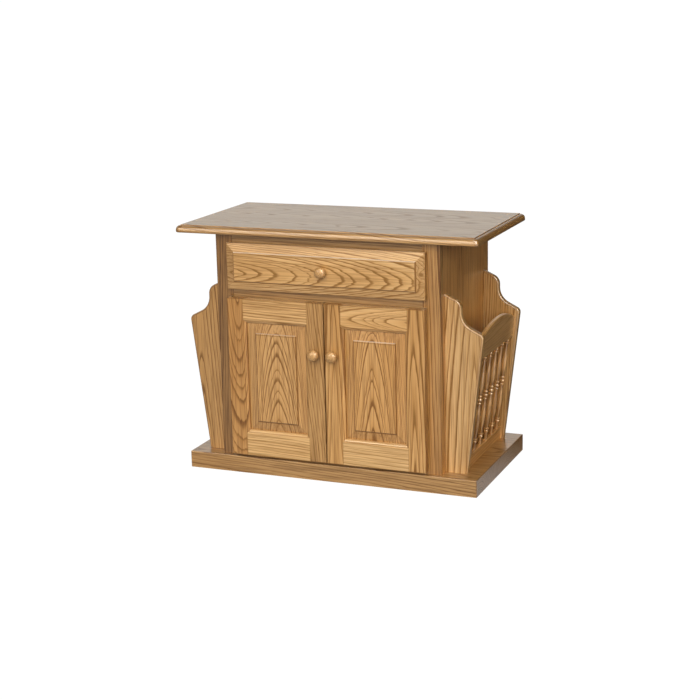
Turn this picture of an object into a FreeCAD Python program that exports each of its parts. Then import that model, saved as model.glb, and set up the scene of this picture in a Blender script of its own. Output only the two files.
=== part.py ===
"""Oak magazine table: a cabinet with a drawer and two doors, and a magazine rack on each side.

Millimetres. X is the width, Y the depth with the doors towards -Y, Z is up.
The origin is the middle of the underside of the plinth board.
"""
import FreeCAD, Part
import math
import os
import re
import Sketcher

# A cut takes at least this share of its piece.
LOSS_SHARE = 1e-6
# Places closer than this share of a joint gap are the same place.
SAME_SHARE = 1e-3

# Driving sizes: name, value, meaning.
SIZES = [
    ("base_width", 776, "plinth board, left to right"),
    ("base_depth", 408, "plinth board, front to back"),
    ("base_thick", 43, "plinth board height"),
    ("base_ease", 2, "rounding of the plinth board's edges"),
    ("front_reveal", 11.5, "plinth in front of the cabinet"),
    ("back_reveal", 14, "plinth behind the cabinet"),
    ("board_thick", 19, "planed thickness of the carcass boards"),
    ("rack_room", 92.5, "plinth beside the cabinet, for the rack"),
    ("cab_height", 576, "cabinet from plinth to table top"),
    ("top_past_base", 9.5, "table top past the plinth board on each side"),
    ("top_overhang", 27.5, "table top in front of the face frame"),
    ("top_thick", 19, "table top thickness"),
    ("top_step", 1, "width of the small step along the table top's edge"),
    ("top_step_depth", 2, "depth of that step"),
    ("top_round", 11.5, "quarter round below the step"),
    ("top_ease", 2.5, "rounding of the table top's lower edge"),
    ("top_arris", 1, "rounding of the table top's upper edge"),
    ("top_corner", 13.5, "rounding of the table top's corners"),
    ("back_thick", 6.5, "cabinet back panel"),
    ("back_rabbet", 10, "how far the back panel reaches into each side"),
    ("stile_width", 45, "face frame stile"),
    ("top_rail_height", 33, "face frame top rail"),
    ("mid_rail_height", 43, "face frame rail between drawer and doors"),
    ("bottom_rail_height", 20, "face frame bottom rail"),
    ("drawer_opening", 95, "height of the drawer's opening"),
    ("tenon_thick", 8, "face frame and rack tenons"),
    ("tenon_length", 20, "face frame tenon"),
    ("tenon_shoulder", 5, "how much lower than its rail a tenon is on each side"),
    ("joint_gap", 0.1, "glue gap in joints and bores"),
    ("overlay", 11, "how far doors and drawer front lap over the face frame"),
    ("front_gap", 2, "air between the face frame and what laps over it"),
    ("meeting_gap", 2.5, "gap between the doors"),
    ("door_thick", 19, "doors and drawer front"),
    ("door_stile", 51, "door stile"),
    ("door_top_rail", 62, "door top rail"),
    ("door_bottom_rail", 66.5, "door bottom rail"),
    ("front_ease", 1.5, "rounding of the outer front edges of doors"),
    ("stick_step", 1.2, "step of the moulding along a door's inner edges"),
    ("stick_round", 8, "quarter round of that moulding"),
    ("cope_gap", 0.15, "gap between a moulding and the rail coped over it"),
    ("groove_width", 5.5, "panel groove in a door frame"),
    ("groove_depth", 10, "depth of the panel groove"),
    ("groove_back", 4, "wood behind the panel groove"),
    ("panel_gap", 0.8, "room for a panel to swell in its groove"),
    ("panel_drop", 1, "panel field behind the face of its frame"),
    ("panel_step", 3.5, "step round the raised field"),
    ("panel_slope", 1.6, "lean of that step"),
    ("panel_arris", 1.2, "rounding along the raised field"),
    ("panel_bevel", 26, "visible bevel round the raised field"),
    ("drawer_bevel", 23, "bevel round the drawer front's raised field"),
    ("drawer_edge", 9.5, "thickness left at the drawer front's edge"),
    ("knob_width", 28.6, "knob across its head"),
    ("knob_length", 27, "knob from its seat to its crown"),
    ("knob_edge", 16.5, "height of the knob's widest ring"),
    ("knob_foot", 17, "knob across its foot"),
    ("knob_foot_height", 2, "straight part of the foot"),
    ("knob_neck", 13, "knob across its neck"),
    ("knob_neck_height", 9, "height of the neck"),
    ("knob_cove", 12, "hollow between foot and neck"),
    ("knob_belly", 6.5, "rounding under the head"),
    ("knob_inset", 23.2, "door knob from the door's meeting edge"),
    ("knob_drop", 129, "door knob below the door's top"),
    ("screw_radius", 2, "shank of the knob and front screws"),
    ("screw_head", 4, "head radius of these screws"),
    ("screw_head_height", 2, "head height of these screws"),
    ("screw_bite", 10, "how far a screw goes into what it holds"),
    ("drawer_wall", 12, "walls of the drawer box"),
    ("drawer_rear_clear", 38, "room behind the drawer box"),
    ("drawer_side_clear", 1, "play of the drawer box on each side"),
    ("drawer_top_clear", 3, "play above the drawer box"),
    ("run_gap", 0.3, "air between the drawer and its runners"),
    ("drawer_dado", 6, "housing of the box front and back in the sides"),
    ("drawer_bottom_thick", 6, "drawer bottom"),
    ("drawer_bottom_up", 10, "drawer bottom above the lower edge of the walls"),
    ("drawer_groove", 6, "groove for the drawer bottom"),
    ("front_screw_in", 60, "front screws from the sides of the drawer box"),
    ("bumper_radius", 4.5, "bumper behind the drawer front"),
    ("bumper_thick", 1.7, "bumper thickness"),
    ("runner_under", 13, "bearing of a runner under the drawer side"),
    ("runner_guide", 30, "height of a runner's side guide"),
    ("kicker_width", 25, "kicker above a drawer side"),
    ("stretcher_width", 60, "stretchers under the table top"),
    ("top_screw_in", 70, "top screws from the cabinet sides"),
    ("pivot_inset", 5.5, "door pivot from the door's outer edge"),
    ("pivot_depth", 11, "door pivot from the door's back"),
    ("hinge_plate", 2, "bracket sheet thickness"),
    ("hinge_leg", 32, "bracket leg behind the door"),
    ("hinge_gap", 0.5, "air between bracket tab and door edge"),
    ("pin_radius", 2, "pivot pin"),
    ("pin_reach", 10, "pivot pin in the door"),
    ("pin_head", 3.2, "rivet head radius"),
    ("pin_head_height", 0.8, "rivet head height"),
    ("pin_fit", 0.05, "running fit of the pin in its bush"),
    ("bush_radius", 3.5, "bush in the door's edge"),
    ("bush_length", 12, "length of the bush"),
    ("hinge_screw_radius", 1.5, "bracket screw shank"),
    ("hinge_screw_head", 3, "bracket screw head radius"),
    ("hinge_screw_length", 14, "bracket screw length"),
    ("hinge_screw_pitch", 14, "distance of the two screws of a bracket"),
    ("hinge_screw_end", 7, "lower screw from the end of the leg"),
    ("catch_width", 48, "double catch, left to right"),
    ("catch_height", 13, "double catch height"),
    ("catch_depth", 18, "double catch, front to back"),
    ("catch_gap", 0.3, "air between catch and strike"),
    ("strike_width", 18, "strike plate"),
    ("strike_height", 11, "strike plate"),
    ("strike_thick", 1, "strike plate"),
    ("strike_in", 3, "strike from the door's meeting edge"),
    ("rack_setback", 28.5, "front rack end behind the face frame's front"),
    ("rack_rear_setback", 26, "rear rack end in front of the cabinet's back"),
    ("rack_thick", 19, "rack end panel"),
    ("rack_height", 448, "rack end at the cabinet side, above the plinth"),
    ("rack_ease", 5, "rounding of the rack end's free edges"),
    ("shoulder_angle", 25, "slope of the shoulder in degrees"),
    ("shoulder_round", 26, "rounding of the shoulder"),
    ("neck_out", 42, "rack end's neck from the cabinet side"),
    ("neck_straight", 8, "straight part of the neck"),
    ("hollow_round", 42, "hollow below the neck"),
    ("shelf_angle", 27, "slope below the hollow in degrees"),
    ("lip_out", 97, "lip from the cabinet side"),
    ("lip_round", 14, "rounding of the lip"),
    ("lean_angle", 6.9, "lean of the rack's side in degrees"),
    ("rail_inset", 10, "rack rails inside the end panels' edge"),
    ("rail_thick", 12.7, "rack rails"),
    ("low_rail", 34, "height of the rack's bottom rail"),
    ("high_rail_start", 282, "lower edge of the arched rail, along the lean"),
    ("arch_end", 335, "arched rail's top at its ends, along the lean"),
    ("arch_rise", 29, "rise of the arch"),
    ("arch_ease", 4.5, "rounding of the arched rail's top"),
    ("rail_ease", 2, "rounding of the bottom rail's top"),
    ("rail_tenon", 9, "tenon of a rack rail"),
    ("spindle_count", 6, "spindles in a rack"),
    ("peg_radius", 4, "peg at a spindle's end"),
    ("peg_length", 9, "length of that peg"),
    ("neck_radius", 3.4, "spindle's thinnest place"),
    ("belly_radius", 6.2, "spindle's swelling"),
    ("belly_straight", 16, "straight part of the swelling"),
    ("belly_share", 0.6, "where the swelling lies between its two necks"),
    ("bead_length", 6, "bead along the spindle"),
    ("bead_round", 3.1, "rounding of a bead"),
    ("button_length", 8, "middle bead along the spindle"),
    ("button_round", 4.1, "rounding of the middle bead"),
    ("foot_taper", 20, "taper above the bottom rail"),
    ("tip_taper", 3, "taper below the arched rail"),
    ("ring_length", 3, "flat ring along the spindle"),
    ("quirk", 2.4, "small neck between beads"),
    ("overrun", 2, "how far cuts run past a face"),
]

# Places worked out from the driving sizes.
PLACES = [
    ("cab_half", "base_width/2 - rack_room"),
    ("top_half", "base_width/2 + top_past_base"),
    ("top_rim", "top_round + top_step"),
    ("cab_front", "front_reveal - base_depth/2"),
    ("cab_back", "base_depth/2 - back_reveal"),
    ("cab_top", "base_thick + cab_height"),
    ("frame_back", "cab_front + board_thick"),
    ("side_in", "cab_half - board_thick"),
    ("open_half", "cab_half - stile_width"),
    ("floor_top", "base_thick + bottom_rail_height"),
    ("top_rail_low", "cab_top - top_rail_height"),
    ("mid_rail_top", "top_rail_low - drawer_opening"),
    ("mid_rail_low", "mid_rail_top - mid_rail_height"),
    ("skin_back", "cab_front - front_gap"),
    ("skin_front", "skin_back - door_thick"),
    ("skin_half", "open_half + overlay"),
    ("door_low", "floor_top - overlay"),
    ("door_high", "mid_rail_low + overlay"),
    ("drawer_low", "mid_rail_top - overlay"),
    ("drawer_high", "top_rail_low + overlay"),
    ("drawer_mid", "(drawer_low + drawer_high)/2"),
    ("meet", "meeting_gap/2"),
    ("pane_left", "meet + door_stile"),
    ("pane_right", "skin_half - door_stile"),
    ("pane_low", "door_low + door_bottom_rail"),
    ("pane_high", "door_high - door_top_rail"),
    ("groove_rear", "skin_back - groove_back"),
    ("groove_front", "groove_rear - groove_width"),
    ("knob_x", "meet + knob_inset"),
    ("knob_z", "door_high - knob_drop"),
    ("crown_rise", "knob_length - knob_edge"),
    ("crown_round", "((knob_width/2)^2 + crown_rise^2)/(2*crown_rise)"),
    ("box_half", "open_half - drawer_side_clear"),
    ("box_low", "mid_rail_top + run_gap"),
    ("box_high", "top_rail_low - drawer_top_clear"),
    ("box_bottom", "box_low + drawer_bottom_up"),
    ("guide_in", "box_half + run_gap"),
    ("back_front", "cab_back - back_thick"),
    ("box_back", "back_front - drawer_rear_clear"),
    ("stretcher_low", "cab_top - board_thick"),
    ("pivot_x", "skin_half - pivot_inset"),
    ("pivot_y", "skin_back - pivot_depth"),
    ("tab_low", "door_high + hinge_gap"),
    ("foot_tab_high", "door_low - hinge_gap"),
    ("catch_front", "skin_back + strike_thick + catch_gap"),
    ("rack_front", "cab_front + rack_setback"),
    ("rack_back", "cab_back - rack_rear_setback"),
    ("rack_mid", "(rack_front + rack_back)/2"),
    ("rack_inner", "rack_back - rack_front - 2*rack_thick"),
    ("shoulder_out", "neck_out - shoulder_round*(1 - sin(shoulder_angle))"),
    ("shoulder_high", "rack_height - shoulder_out*tan(shoulder_angle)"),
    ("neck_high", "shoulder_high - shoulder_round*cos(shoulder_angle)"),
    ("neck_low", "neck_high - neck_straight"),
    ("hollow_out", "neck_out + hollow_round*(1 - sin(shelf_angle))"),
    ("hollow_low", "neck_low - hollow_round*cos(shelf_angle)"),
    ("shelf_out", "lip_out - lip_round*(1 - sin(shelf_angle))"),
    ("shelf_low", "hollow_low - (shelf_out - hollow_out)*tan(shelf_angle)"),
    ("lip_mid", "shelf_low - lip_round*cos(shelf_angle)"),
    ("lip_end_out", "lip_out - lip_round*(1 - cos(lean_angle))"),
    ("lip_end_low", "lip_mid - lip_round*sin(lean_angle)"),
    ("foot_out", "lip_end_out - lip_end_low*tan(lean_angle)"),
    ("rail_x", "cab_half + foot_out - rail_inset/cos(lean_angle)"),
    ("rail_half", "rack_inner/2"),
    ("arch_round", "(rail_half^2 + arch_rise^2)/(2*arch_rise)"),
    ("spindle_length", "high_rail_start - low_rail"),
    ("spindle_pitch", "rack_inner/spindle_count"),
    ("spindle_mid", "(spindle_length + foot_taper - tip_taper)/2"),
    ("ring_low", "foot_taper + bead_length + quirk"),
    ("ring_high", "ring_low + ring_length"),
    ("belly_low", "ring_high + quirk"),
    ("button_low", "spindle_mid - button_length/2"),
    ("cluster_low", "button_low - quirk - bead_length"),
    ("belly_mid", "belly_low + belly_share*(cluster_low - belly_low)"),
]

doc = FreeCAD.newDocument("magazine_table")
SHEET_OF = {}


def add_sheet(name, rows):
    """Write name and value rows to a sheet and give each value cell its name."""
    sheet = doc.addObject("Spreadsheet::Sheet", name)
    for row, (alias, content) in enumerate(rows, start=1):
        SHEET_OF[alias] = name
        sheet.set("A%d" % row, alias)
        sheet.set("B%d" % row, content)
        sheet.setAlias("B%d" % row, alias)
    doc.recompute()
    return sheet


def cells(text):
    """Point every bare size or place name in an expression at the sheet that holds it."""
    def point(match):
        word = match.group(0)
        return SHEET_OF[word] + "." + word if word in SHEET_OF else word
    return re.sub(r"[a-z][a-z0-9_]*", point, text)


sizes = add_sheet("Sizes", [(name, str(number)) for name, number, _ in SIZES])
add_sheet("Places", [(name, "=" + cells(formula)) for name, formula in PLACES])


def measure(text):
    """Present value of an expression."""
    found = sizes.evalExpression(cells(text))
    return float(getattr(found, "Value", found))


def middle(span):
    return "((%s) + (%s))/2" % span


def extent(span):
    return "(%s) - (%s)" % (span[1], span[0])


# Outlines are lists of corners. A corner (x, y) starts a straight edge; (x, y, radius, turn) starts an arc
# that turns LEFT or RIGHT. A circle is ("circle", x, y, radius).
LEFT, RIGHT = 1, -1


def box(first, second):
    """Rectangle from two spans."""
    (a, b), (c, d) = first, second
    return [(a, c), (b, c), (b, d), (a, d)]


def arc_between(start, end, radius, turn):
    """Arc of less than a half circle, and which of its own ends come first and last."""
    half = (end - start)/2
    reach = math.sqrt(max(radius**2 - half.Length**2, 0))
    side = FreeCAD.Vector(-half.y, half.x, 0).normalize()*turn
    centre = (start + end)/2 + side*reach
    first, last = (start, end) if turn == LEFT else (end, start)
    begin = math.atan2(first.y - centre.y, first.x - centre.x)
    finish = math.atan2(last.y - centre.y, last.x - centre.x)
    if finish < begin:
        finish += 2*math.pi
    circle = Part.Circle(centre, FreeCAD.Vector(0, 0, 1), radius)
    ends = (1, 2) if turn == LEFT else (2, 1)
    return Part.ArcOfCircle(circle, begin, finish), ends


def bind(sketch, constraint, text):
    """Add a constraint whose value follows the sheets."""
    index = sketch.addConstraint(constraint)
    sketch.setExpression("Constraints[%d]" % index, cells(text))


def bind_spot(sketch, edge, point, x, y):
    """Tie a point of an edge to its place in the sketch."""
    bind(sketch, Sketcher.Constraint("DistanceX", -1, 1, edge, point, measure(x)), x)
    bind(sketch, Sketcher.Constraint("DistanceY", -1, 1, edge, point, measure(y)), y)


def add_circle(sketch, x, y, radius):
    centre = FreeCAD.Vector(measure(x), measure(y), 0)
    edge = sketch.addGeometry(Part.Circle(centre, FreeCAD.Vector(0, 0, 1), measure(radius)), False)
    bind_spot(sketch, edge, 3, x, y)
    bind(sketch, Sketcher.Constraint("Radius", edge, measure(radius)), radius)


def add_outline(sketch, corners):
    """Closed run of lines and arcs with every corner and radius tied to the sheets."""
    spots = [FreeCAD.Vector(measure(corner[0]), measure(corner[1]), 0) for corner in corners]
    edges = []
    for index, corner in enumerate(corners):
        start, end = spots[index], spots[(index + 1) % len(spots)]
        shape, ends = Part.LineSegment(start, end), (1, 2)
        if len(corner) > 2:
            shape, ends = arc_between(start, end, measure(corner[2]), corner[3])
        edges.append((sketch.addGeometry(shape, False), *ends))
    for (edge, _, last), (after, first, _) in zip(edges, edges[1:] + edges[:1]):
        sketch.addConstraint(Sketcher.Constraint("Coincident", edge, last, after, first))
    for (edge, first, _), corner in zip(edges, corners):
        bind_spot(sketch, edge, first, corner[0], corner[1])
        if len(corner) > 2:
            bind(sketch, Sketcher.Constraint("Radius", edge, measure(corner[2])), corner[2])


# The two directions drawn on each plane, the one that stands on it, and which way its normal points.
PLANES = {"XY": ("x", "y", "z", 1), "XZ": ("x", "z", "y", -1), "YZ": ("y", "z", "x", 1)}
NO_SHIFT = {"x": "0", "y": "0", "z": "0"}


class Piece:
    """One piece of wood or metal, with outlines in the table's frame, or in its own once it is turned."""

    def __init__(self, label):
        self.label = label
        self.body = doc.addObject("PartDesign::Body", label)
        self.body.Label = label
        self.shift = dict(NO_SHIFT)

    def move(self, **places):
        """Set the body's place along the named axes; outlines stay in the table's frame."""
        for axis, text in places.items():
            self.shift[axis] = text
            self.body.setExpression("Placement.Base." + axis, cells(text))
        return self

    def tip_over(self, axis, degrees):
        """Turn the body; its outlines are given in its own frame from here on."""
        self.body.Placement.Rotation = FreeCAD.Rotation(axis, degrees)
        self.shift = dict(NO_SHIFT)
        return self

    def sketch(self, plane, loops, level="0"):
        """Sketch on one of the body's own planes, lifted to a level."""
        sketch = self.body.newObject("Sketcher::SketchObject", self.label + "_sketch")
        support = [f for f in self.body.Origin.OriginFeatures if f.Role == plane + "_Plane"][0]
        sketch.AttachmentSupport = [(support, "")]
        sketch.MapMode = "FlatFace"
        across, along, normal, sign = PLANES[plane]
        lift = "%d*(%s)" % (sign, self.local(level, normal))
        sketch.setExpression("AttachmentOffset.Base.z", cells(lift))

        def spot(x, y, *rest):
            return (self.local(x, across), self.local(y, along), *rest)

        for loop in loops:
            if loop[0] == "circle":
                add_circle(sketch, *spot(*loop[1:]))
            else:
                add_outline(sketch, [spot(*corner) for corner in loop])
        return sketch

    def local(self, text, axis):
        """A place of the table's frame counted from the body's own origin."""
        return "(%s) - (%s)" % (text, self.shift[axis])

    def feature(self, kind, plane, loops, span):
        """Pad or pocket of the outlines between two levels."""
        sketch = self.sketch(plane, loops, middle(span))
        made = self.body.newObject("PartDesign::" + kind, self.label + "_" + kind.lower())
        made.Profile = sketch
        made.SideType = "Symmetric"
        made.setExpression("Length", cells(extent(span)))
        doc.recompute()
        return self

    def pad(self, plane, loops, span):
        return self.feature("Pad", plane, loops, span)

    def cut(self, plane, loops, span):
        """Pocket that has to take material away."""
        before = self.body.Shape.Volume
        self.feature("Pocket", plane, loops, span)
        if self.body.Shape.Volume > before*(1 - LOSS_SHARE):
            raise RuntimeError("a cut in %s takes nothing away" % self.label)
        return self

    def turn(self, corners):
        """Solid of revolution about the body's own upright axis."""
        sketch = self.sketch("XZ", [corners])
        made = self.body.newObject("PartDesign::Revolution", self.label + "_turning")
        made.Profile = sketch
        made.ReferenceAxis = (sketch, ["V_Axis"])
        doc.recompute()
        return self

    def ease(self, radius, chosen):
        """Round the edges that the test picks."""
        base = self.body.Tip
        edges = ["Edge%d" % number for number, edge in enumerate(base.Shape.Edges, start=1) if chosen(edge)]
        made = self.body.newObject("PartDesign::Fillet", self.label + "_easing")
        made.Base = (base, edges)
        made.setExpression("Radius", cells(radius))
        doc.recompute()
        return self

    def row(self, count, pitch):
        """Repeat the last feature along Y, each copy a solid of its own."""
        original = self.body.Tip
        self.body.AllowCompound = True
        made = self.body.newObject("PartDesign::LinearPattern", self.label + "_row")
        made.Originals = [original]
        made.Direction = ([f for f in self.body.Origin.OriginFeatures if f.Role == "Y_Axis"][0], [""])
        made.setExpression("Occurrences", cells(count))
        made.setExpression("Length", cells("(%s - 1)*(%s)" % (count, pitch)))
        self.body.Tip = made
        doc.recompute()
        return self


NODES = []


def keep(piece):
    """List a finished piece as a node of its own."""
    thing = piece.body if isinstance(piece, Piece) else piece
    NODES.append(thing)
    return thing


def board(label, x, y, z):
    """Rectangular board between three spans."""
    return Piece(label).move(z=middle(z)).pad("XY", [box(x, y)], z)


def mirrored(thing, label):
    """The same piece on the other side of the table's middle plane."""
    copy = doc.addObject("Part::Mirroring", label)
    copy.Label = label
    copy.Source = thing
    copy.Normal = FreeCAD.Vector(1, 0, 0)
    doc.recompute()
    return copy


def both(piece):
    """Keep a right-hand piece and its mirrored twin on the left."""
    thing = keep(piece)
    keep(mirrored(thing, thing.Label.replace("right", "left", 1)))


def group(label, things):
    """Several like pieces in one node, each a solid of its own."""
    made = doc.addObject("Part::Compound", label)
    made.Label = label
    made.Links = things
    doc.recompute()
    return made


def pairs(label, pieces):
    """Like pieces and their mirrored twins in one node."""
    things = [piece.body for piece in pieces]
    twins = [mirrored(thing, thing.Label + "_twin") for thing in things]
    return keep(group(label, things + twins))


def lies_at(edge, axis, level):
    """Whether an edge lies wholly at one level of an axis, in its body's own frame."""
    bounds = edge.BoundBox
    spans = {"x": (bounds.XMin, bounds.XMax), "y": (bounds.YMin, bounds.YMax),
             "z": (bounds.ZMin, bounds.ZMax)}
    near = measure("joint_gap")*SAME_SHARE
    return all(abs(end - level) < near for end in spans[axis])


# Plinth board and table top.
def base_board():
    piece = board("base_board", ("-base_width/2", "base_width/2"), ("-base_depth/2", "base_depth/2"),
                  ("0", "base_thick"))
    under = measure("-base_thick/2")
    keep(piece.ease("base_ease", lambda edge: not lies_at(edge, "z", under)))


def round_plate(x, y, radius):
    """Rectangle from two spans with its four corners rounded."""
    (left, right), (front, back) = x, y
    in_left, in_right = "%s + %s" % (left, radius), "%s - %s" % (right, radius)
    in_front, in_back = "%s + %s" % (front, radius), "%s - %s" % (back, radius)
    return [(in_left, front), (in_right, front, radius, LEFT),
            (right, in_front), (right, in_back, radius, LEFT),
            (in_right, back), (in_left, back, radius, LEFT),
            (left, in_back), (left, in_front, radius, LEFT)]


def table_top():
    """Plate with a quarter-round edge, and a thin one on it that leaves a small step all round."""
    width, depth = ("-top_half", "top_half"), ("cab_front - top_overhang", "cab_back")
    under, shelf, high = "cab_top", "(cab_top + top_thick - top_step_depth)", "cab_top + top_thick"
    piece = Piece("table_top").move(z=under)
    piece.pad("XY", [round_plate(width, depth, "top_corner")], (under, shelf))

    def rim(radius, level):
        height = measure("%s - %s" % (level, under))
        piece.ease(radius, lambda edge: lies_at(edge, "z", height))

    rim("top_round", shelf)
    rim("top_ease", under)
    inner = [grown(span, "(-top_rim)") for span in (width, depth)]
    piece.pad("XY", [round_plate(*inner, "(top_corner - top_rim)")], (shelf, high))
    rim("top_arris", high)
    keep(piece)


# Carcass.
def carcass():
    side = board("cabinet_right_side", ("side_in", "cab_half"), ("frame_back", "cab_back"),
                 ("base_thick", "cab_top"))
    rabbet = box(("side_in - overrun", "side_in + back_rabbet"), ("back_front", "cab_back + overrun"))
    side.cut("XY", [rabbet], ("base_thick - overrun", "cab_top + overrun"))
    both(side)
    reach = ("-side_in - back_rabbet + joint_gap", "side_in + back_rabbet - joint_gap")
    keep(board("back_panel", reach, ("back_front", "cab_back"), ("base_thick", "cab_top")))
    inside = ("-side_in", "side_in")
    keep(board("cabinet_floor", inside, ("frame_back", "back_front"), ("base_thick", "floor_top")))
    for name, rows in (("front_stretcher", ("frame_back", "frame_back + stretcher_width")),
                       ("rear_stretcher", ("back_front - stretcher_width", "back_front"))):
        piece = board(name, inside, rows, ("stretcher_low", "cab_top"))
        holes = [("circle", x, middle(rows), "screw_radius + joint_gap")
                 for x in ("side_in - top_screw_in", "-side_in + top_screw_in")]
        keep(piece.cut("XY", holes, ("stretcher_low - overrun", "cab_top + overrun")))


def top_screws():
    screws = []
    x = "side_in - top_screw_in"
    for name, y in (("front", "frame_back + stretcher_width/2"),
                    ("rear", "back_front - stretcher_width/2")):
        screw = Piece("top_screw_" + name).move(x=x, y=y, z="stretcher_low")
        screw.pad("XY", [("circle", x, y, "screw_radius")], ("stretcher_low", "cab_top"))
        head = ("stretcher_low - screw_head_height", "stretcher_low")
        screws.append(screw.pad("XY", [("circle", x, y, "screw_head")], head))
    pairs("top_screws", screws)


# Face frame.
FRAME_CORE = ("(cab_front + frame_back - tenon_thick)/2", "(cab_front + frame_back + tenon_thick)/2")


def grown(span, gap):
    """A span widened at both ends."""
    return "%s - %s" % (span[0], gap), "%s + %s" % (span[1], gap)


def face_frame():
    rails = {"frame_top_rail": ("top_rail_low", "cab_top"),
             "frame_mid_rail": ("mid_rail_low", "mid_rail_top"),
             "frame_bottom_rail": ("base_thick", "floor_top")}
    thick = ("cab_front", "frame_back")
    stile = board("frame_right_stile", ("open_half", "cab_half"), thick, ("base_thick", "cab_top"))
    for name, rail in rails.items():
        tongue = (rail[0] + " + tenon_shoulder", rail[1] + " - tenon_shoulder")
        piece = board(name, ("-open_half", "open_half"), thick, rail)
        tenons = box(grown(("-open_half", "open_half"), "tenon_length"), tongue)
        keep(piece.pad("XZ", [tenons], FRAME_CORE))
        depth = ("open_half - overrun", "open_half + tenon_length + joint_gap")
        stile.cut("XZ", [box(depth, grown(tongue, "joint_gap"))], grown(FRAME_CORE, "joint_gap"))
    for _, leg, _, screws in HINGES:
        seat = box(grown(HINGE_WIDTH, "joint_gap"), leg)
        stile.cut("XZ", [seat], ("cab_front - overrun", HINGE_SEAT))
        pilots = [("circle", "pivot_x", z, "hinge_screw_radius + joint_gap") for z in screws]
        stile.cut("XZ", pilots, ("cab_front - overrun", "cab_front + hinge_screw_length + joint_gap"))
    both(stile)


# Pivot hinges: a bent bracket let into each stile above and below a door, and a pin in the door's edge.
HINGE_WIDTH = ("pivot_x - pivot_inset", "pivot_x + pivot_inset")
HINGE_SEAT = "cab_front + hinge_plate"
UPPER_LEG = ("tab_low + hinge_plate - hinge_leg", "tab_low + hinge_plate")
LOWER_LEG = ("foot_tab_high - hinge_plate", "foot_tab_high - hinge_plate + hinge_leg")
HINGES = [
    ("upper", UPPER_LEG, ("tab_low", UPPER_LEG[1]),
     (UPPER_LEG[0] + " + hinge_screw_end", UPPER_LEG[0] + " + hinge_screw_end + hinge_screw_pitch")),
    ("lower", LOWER_LEG, (LOWER_LEG[0], "foot_tab_high"),
     (LOWER_LEG[1] + " - hinge_screw_end", LOWER_LEG[1] + " - hinge_screw_end - hinge_screw_pitch")),
]


def hinges():
    brackets, pins, screws = [], [], []
    for name, leg, tab, spots in HINGES:
        brackets.append(hinge_bracket(name, leg, tab, spots))
        pins.append(hinge_pin(name, tab))
        for number, z in enumerate(spots, start=1):
            screws.append(hinge_screw("%s_hinge_screw_%d" % (name, number), z))
    pairs("hinge_brackets", brackets)
    pairs("hinge_pins", pins)
    pairs("hinge_screws", screws)


def hinge_bracket(name, leg, tab, spots):
    nose = "pivot_y - pivot_inset"
    bracket = Piece(name + "_bracket").move(x="pivot_x")
    bracket.pad("YZ", [box(("cab_front", HINGE_SEAT), leg)], HINGE_WIDTH)
    bracket.pad("XY", [[(HINGE_WIDTH[0], HINGE_SEAT), (HINGE_WIDTH[0], "pivot_y", "pivot_inset", LEFT),
                        ("pivot_x", nose, "pivot_inset", LEFT), (HINGE_WIDTH[1], "pivot_y"),
                        (HINGE_WIDTH[1], HINGE_SEAT)]], tab)
    bracket.cut("XY", [("circle", "pivot_x", "pivot_y", "pin_radius + joint_gap")], grown(tab, "overrun"))
    sinks = [("circle", "pivot_x", z, "hinge_screw_head + joint_gap") for z in spots]
    bracket.cut("XZ", sinks, ("cab_front - overrun", "cab_front + hinge_plate/2"))
    bores = [("circle", "pivot_x", z, "hinge_screw_radius + joint_gap") for z in spots]
    return bracket.cut("XZ", bores, ("cab_front - overrun", HINGE_SEAT + " + overrun"))


def hinge_pin(name, tab):
    """Riveted pin: a shank through the tab into the door and a head on the tab's far side."""
    shank, head = ("door_high - pin_reach", tab[1]), (tab[1], tab[1] + " + pin_head_height")
    if name == "lower":
        shank, head = (tab[0], "door_low + pin_reach"), (tab[0] + " - pin_head_height", tab[0])
    pin = Piece(name + "_pin").move(x="pivot_x", y="pivot_y", z=middle(shank))
    pin.pad("XY", [("circle", "pivot_x", "pivot_y", "pin_radius")], shank)
    return pin.pad("XY", [("circle", "pivot_x", "pivot_y", "pin_head")], head)


def hinge_screw(label, z):
    """Flat-headed screw through a bracket's leg into the stile."""
    screw = Piece(label).move(x="pivot_x", z=z)
    shank = ("cab_front", "cab_front + hinge_screw_length")
    screw.pad("XZ", [("circle", "pivot_x", z, "hinge_screw_radius")], shank)
    head = ("cab_front", "cab_front + hinge_plate/2")
    return screw.pad("XZ", [("circle", "pivot_x", z, "hinge_screw_head")], head)


# Doors, drawn for the right-hand door and mirrored.
def inward(edge, side):
    """Distances from an edge into the wood, below the edge for side 1 and above it for side -1."""
    return lambda depth: "%s - %d*(%s)" % (edge, side, depth)


def moulded_edge(edge, side):
    """Step, quarter round and panel groove down an inner edge of a door's frame."""
    into = inward(edge, side)
    crest = "skin_front + stick_step"
    turn = LEFT if side > 0 else RIGHT
    moulding = [(into("stick_round"), "skin_front"), (into("stick_round"), crest, "stick_round", turn),
                (edge, crest + " + stick_round")]
    groove = [(edge, "groove_front"), (into("groove_depth"), "groove_front"),
              (into("groove_depth"), "groove_rear"), (edge, "groove_rear")]
    return moulding + groove + [(edge, "skin_back")]


def coped_end(edge, side):
    """What a rail's end leaves to the stile: its moulding before the tongue, and the wood behind it."""
    into = inward(edge, side)
    turn = LEFT if side > 0 else RIGHT
    past, proud = into("stick_round + overrun"), into("-cope_gap")
    crest = "skin_front + stick_step"
    tongue = ("groove_front + joint_gap", "groove_rear - joint_gap")
    moulding = [(past, crest + " - cope_gap"),
                (into("stick_round"), crest + " - cope_gap", "stick_round + cope_gap", turn),
                (proud, crest + " + stick_round"), (proud, tongue[0]), (past, tongue[0])]
    past_back = "skin_back + overrun"
    behind = [(past, tongue[1]), (edge, tongue[1]), (edge, past_back), (past, past_back)]
    return [moulding, behind]


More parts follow.
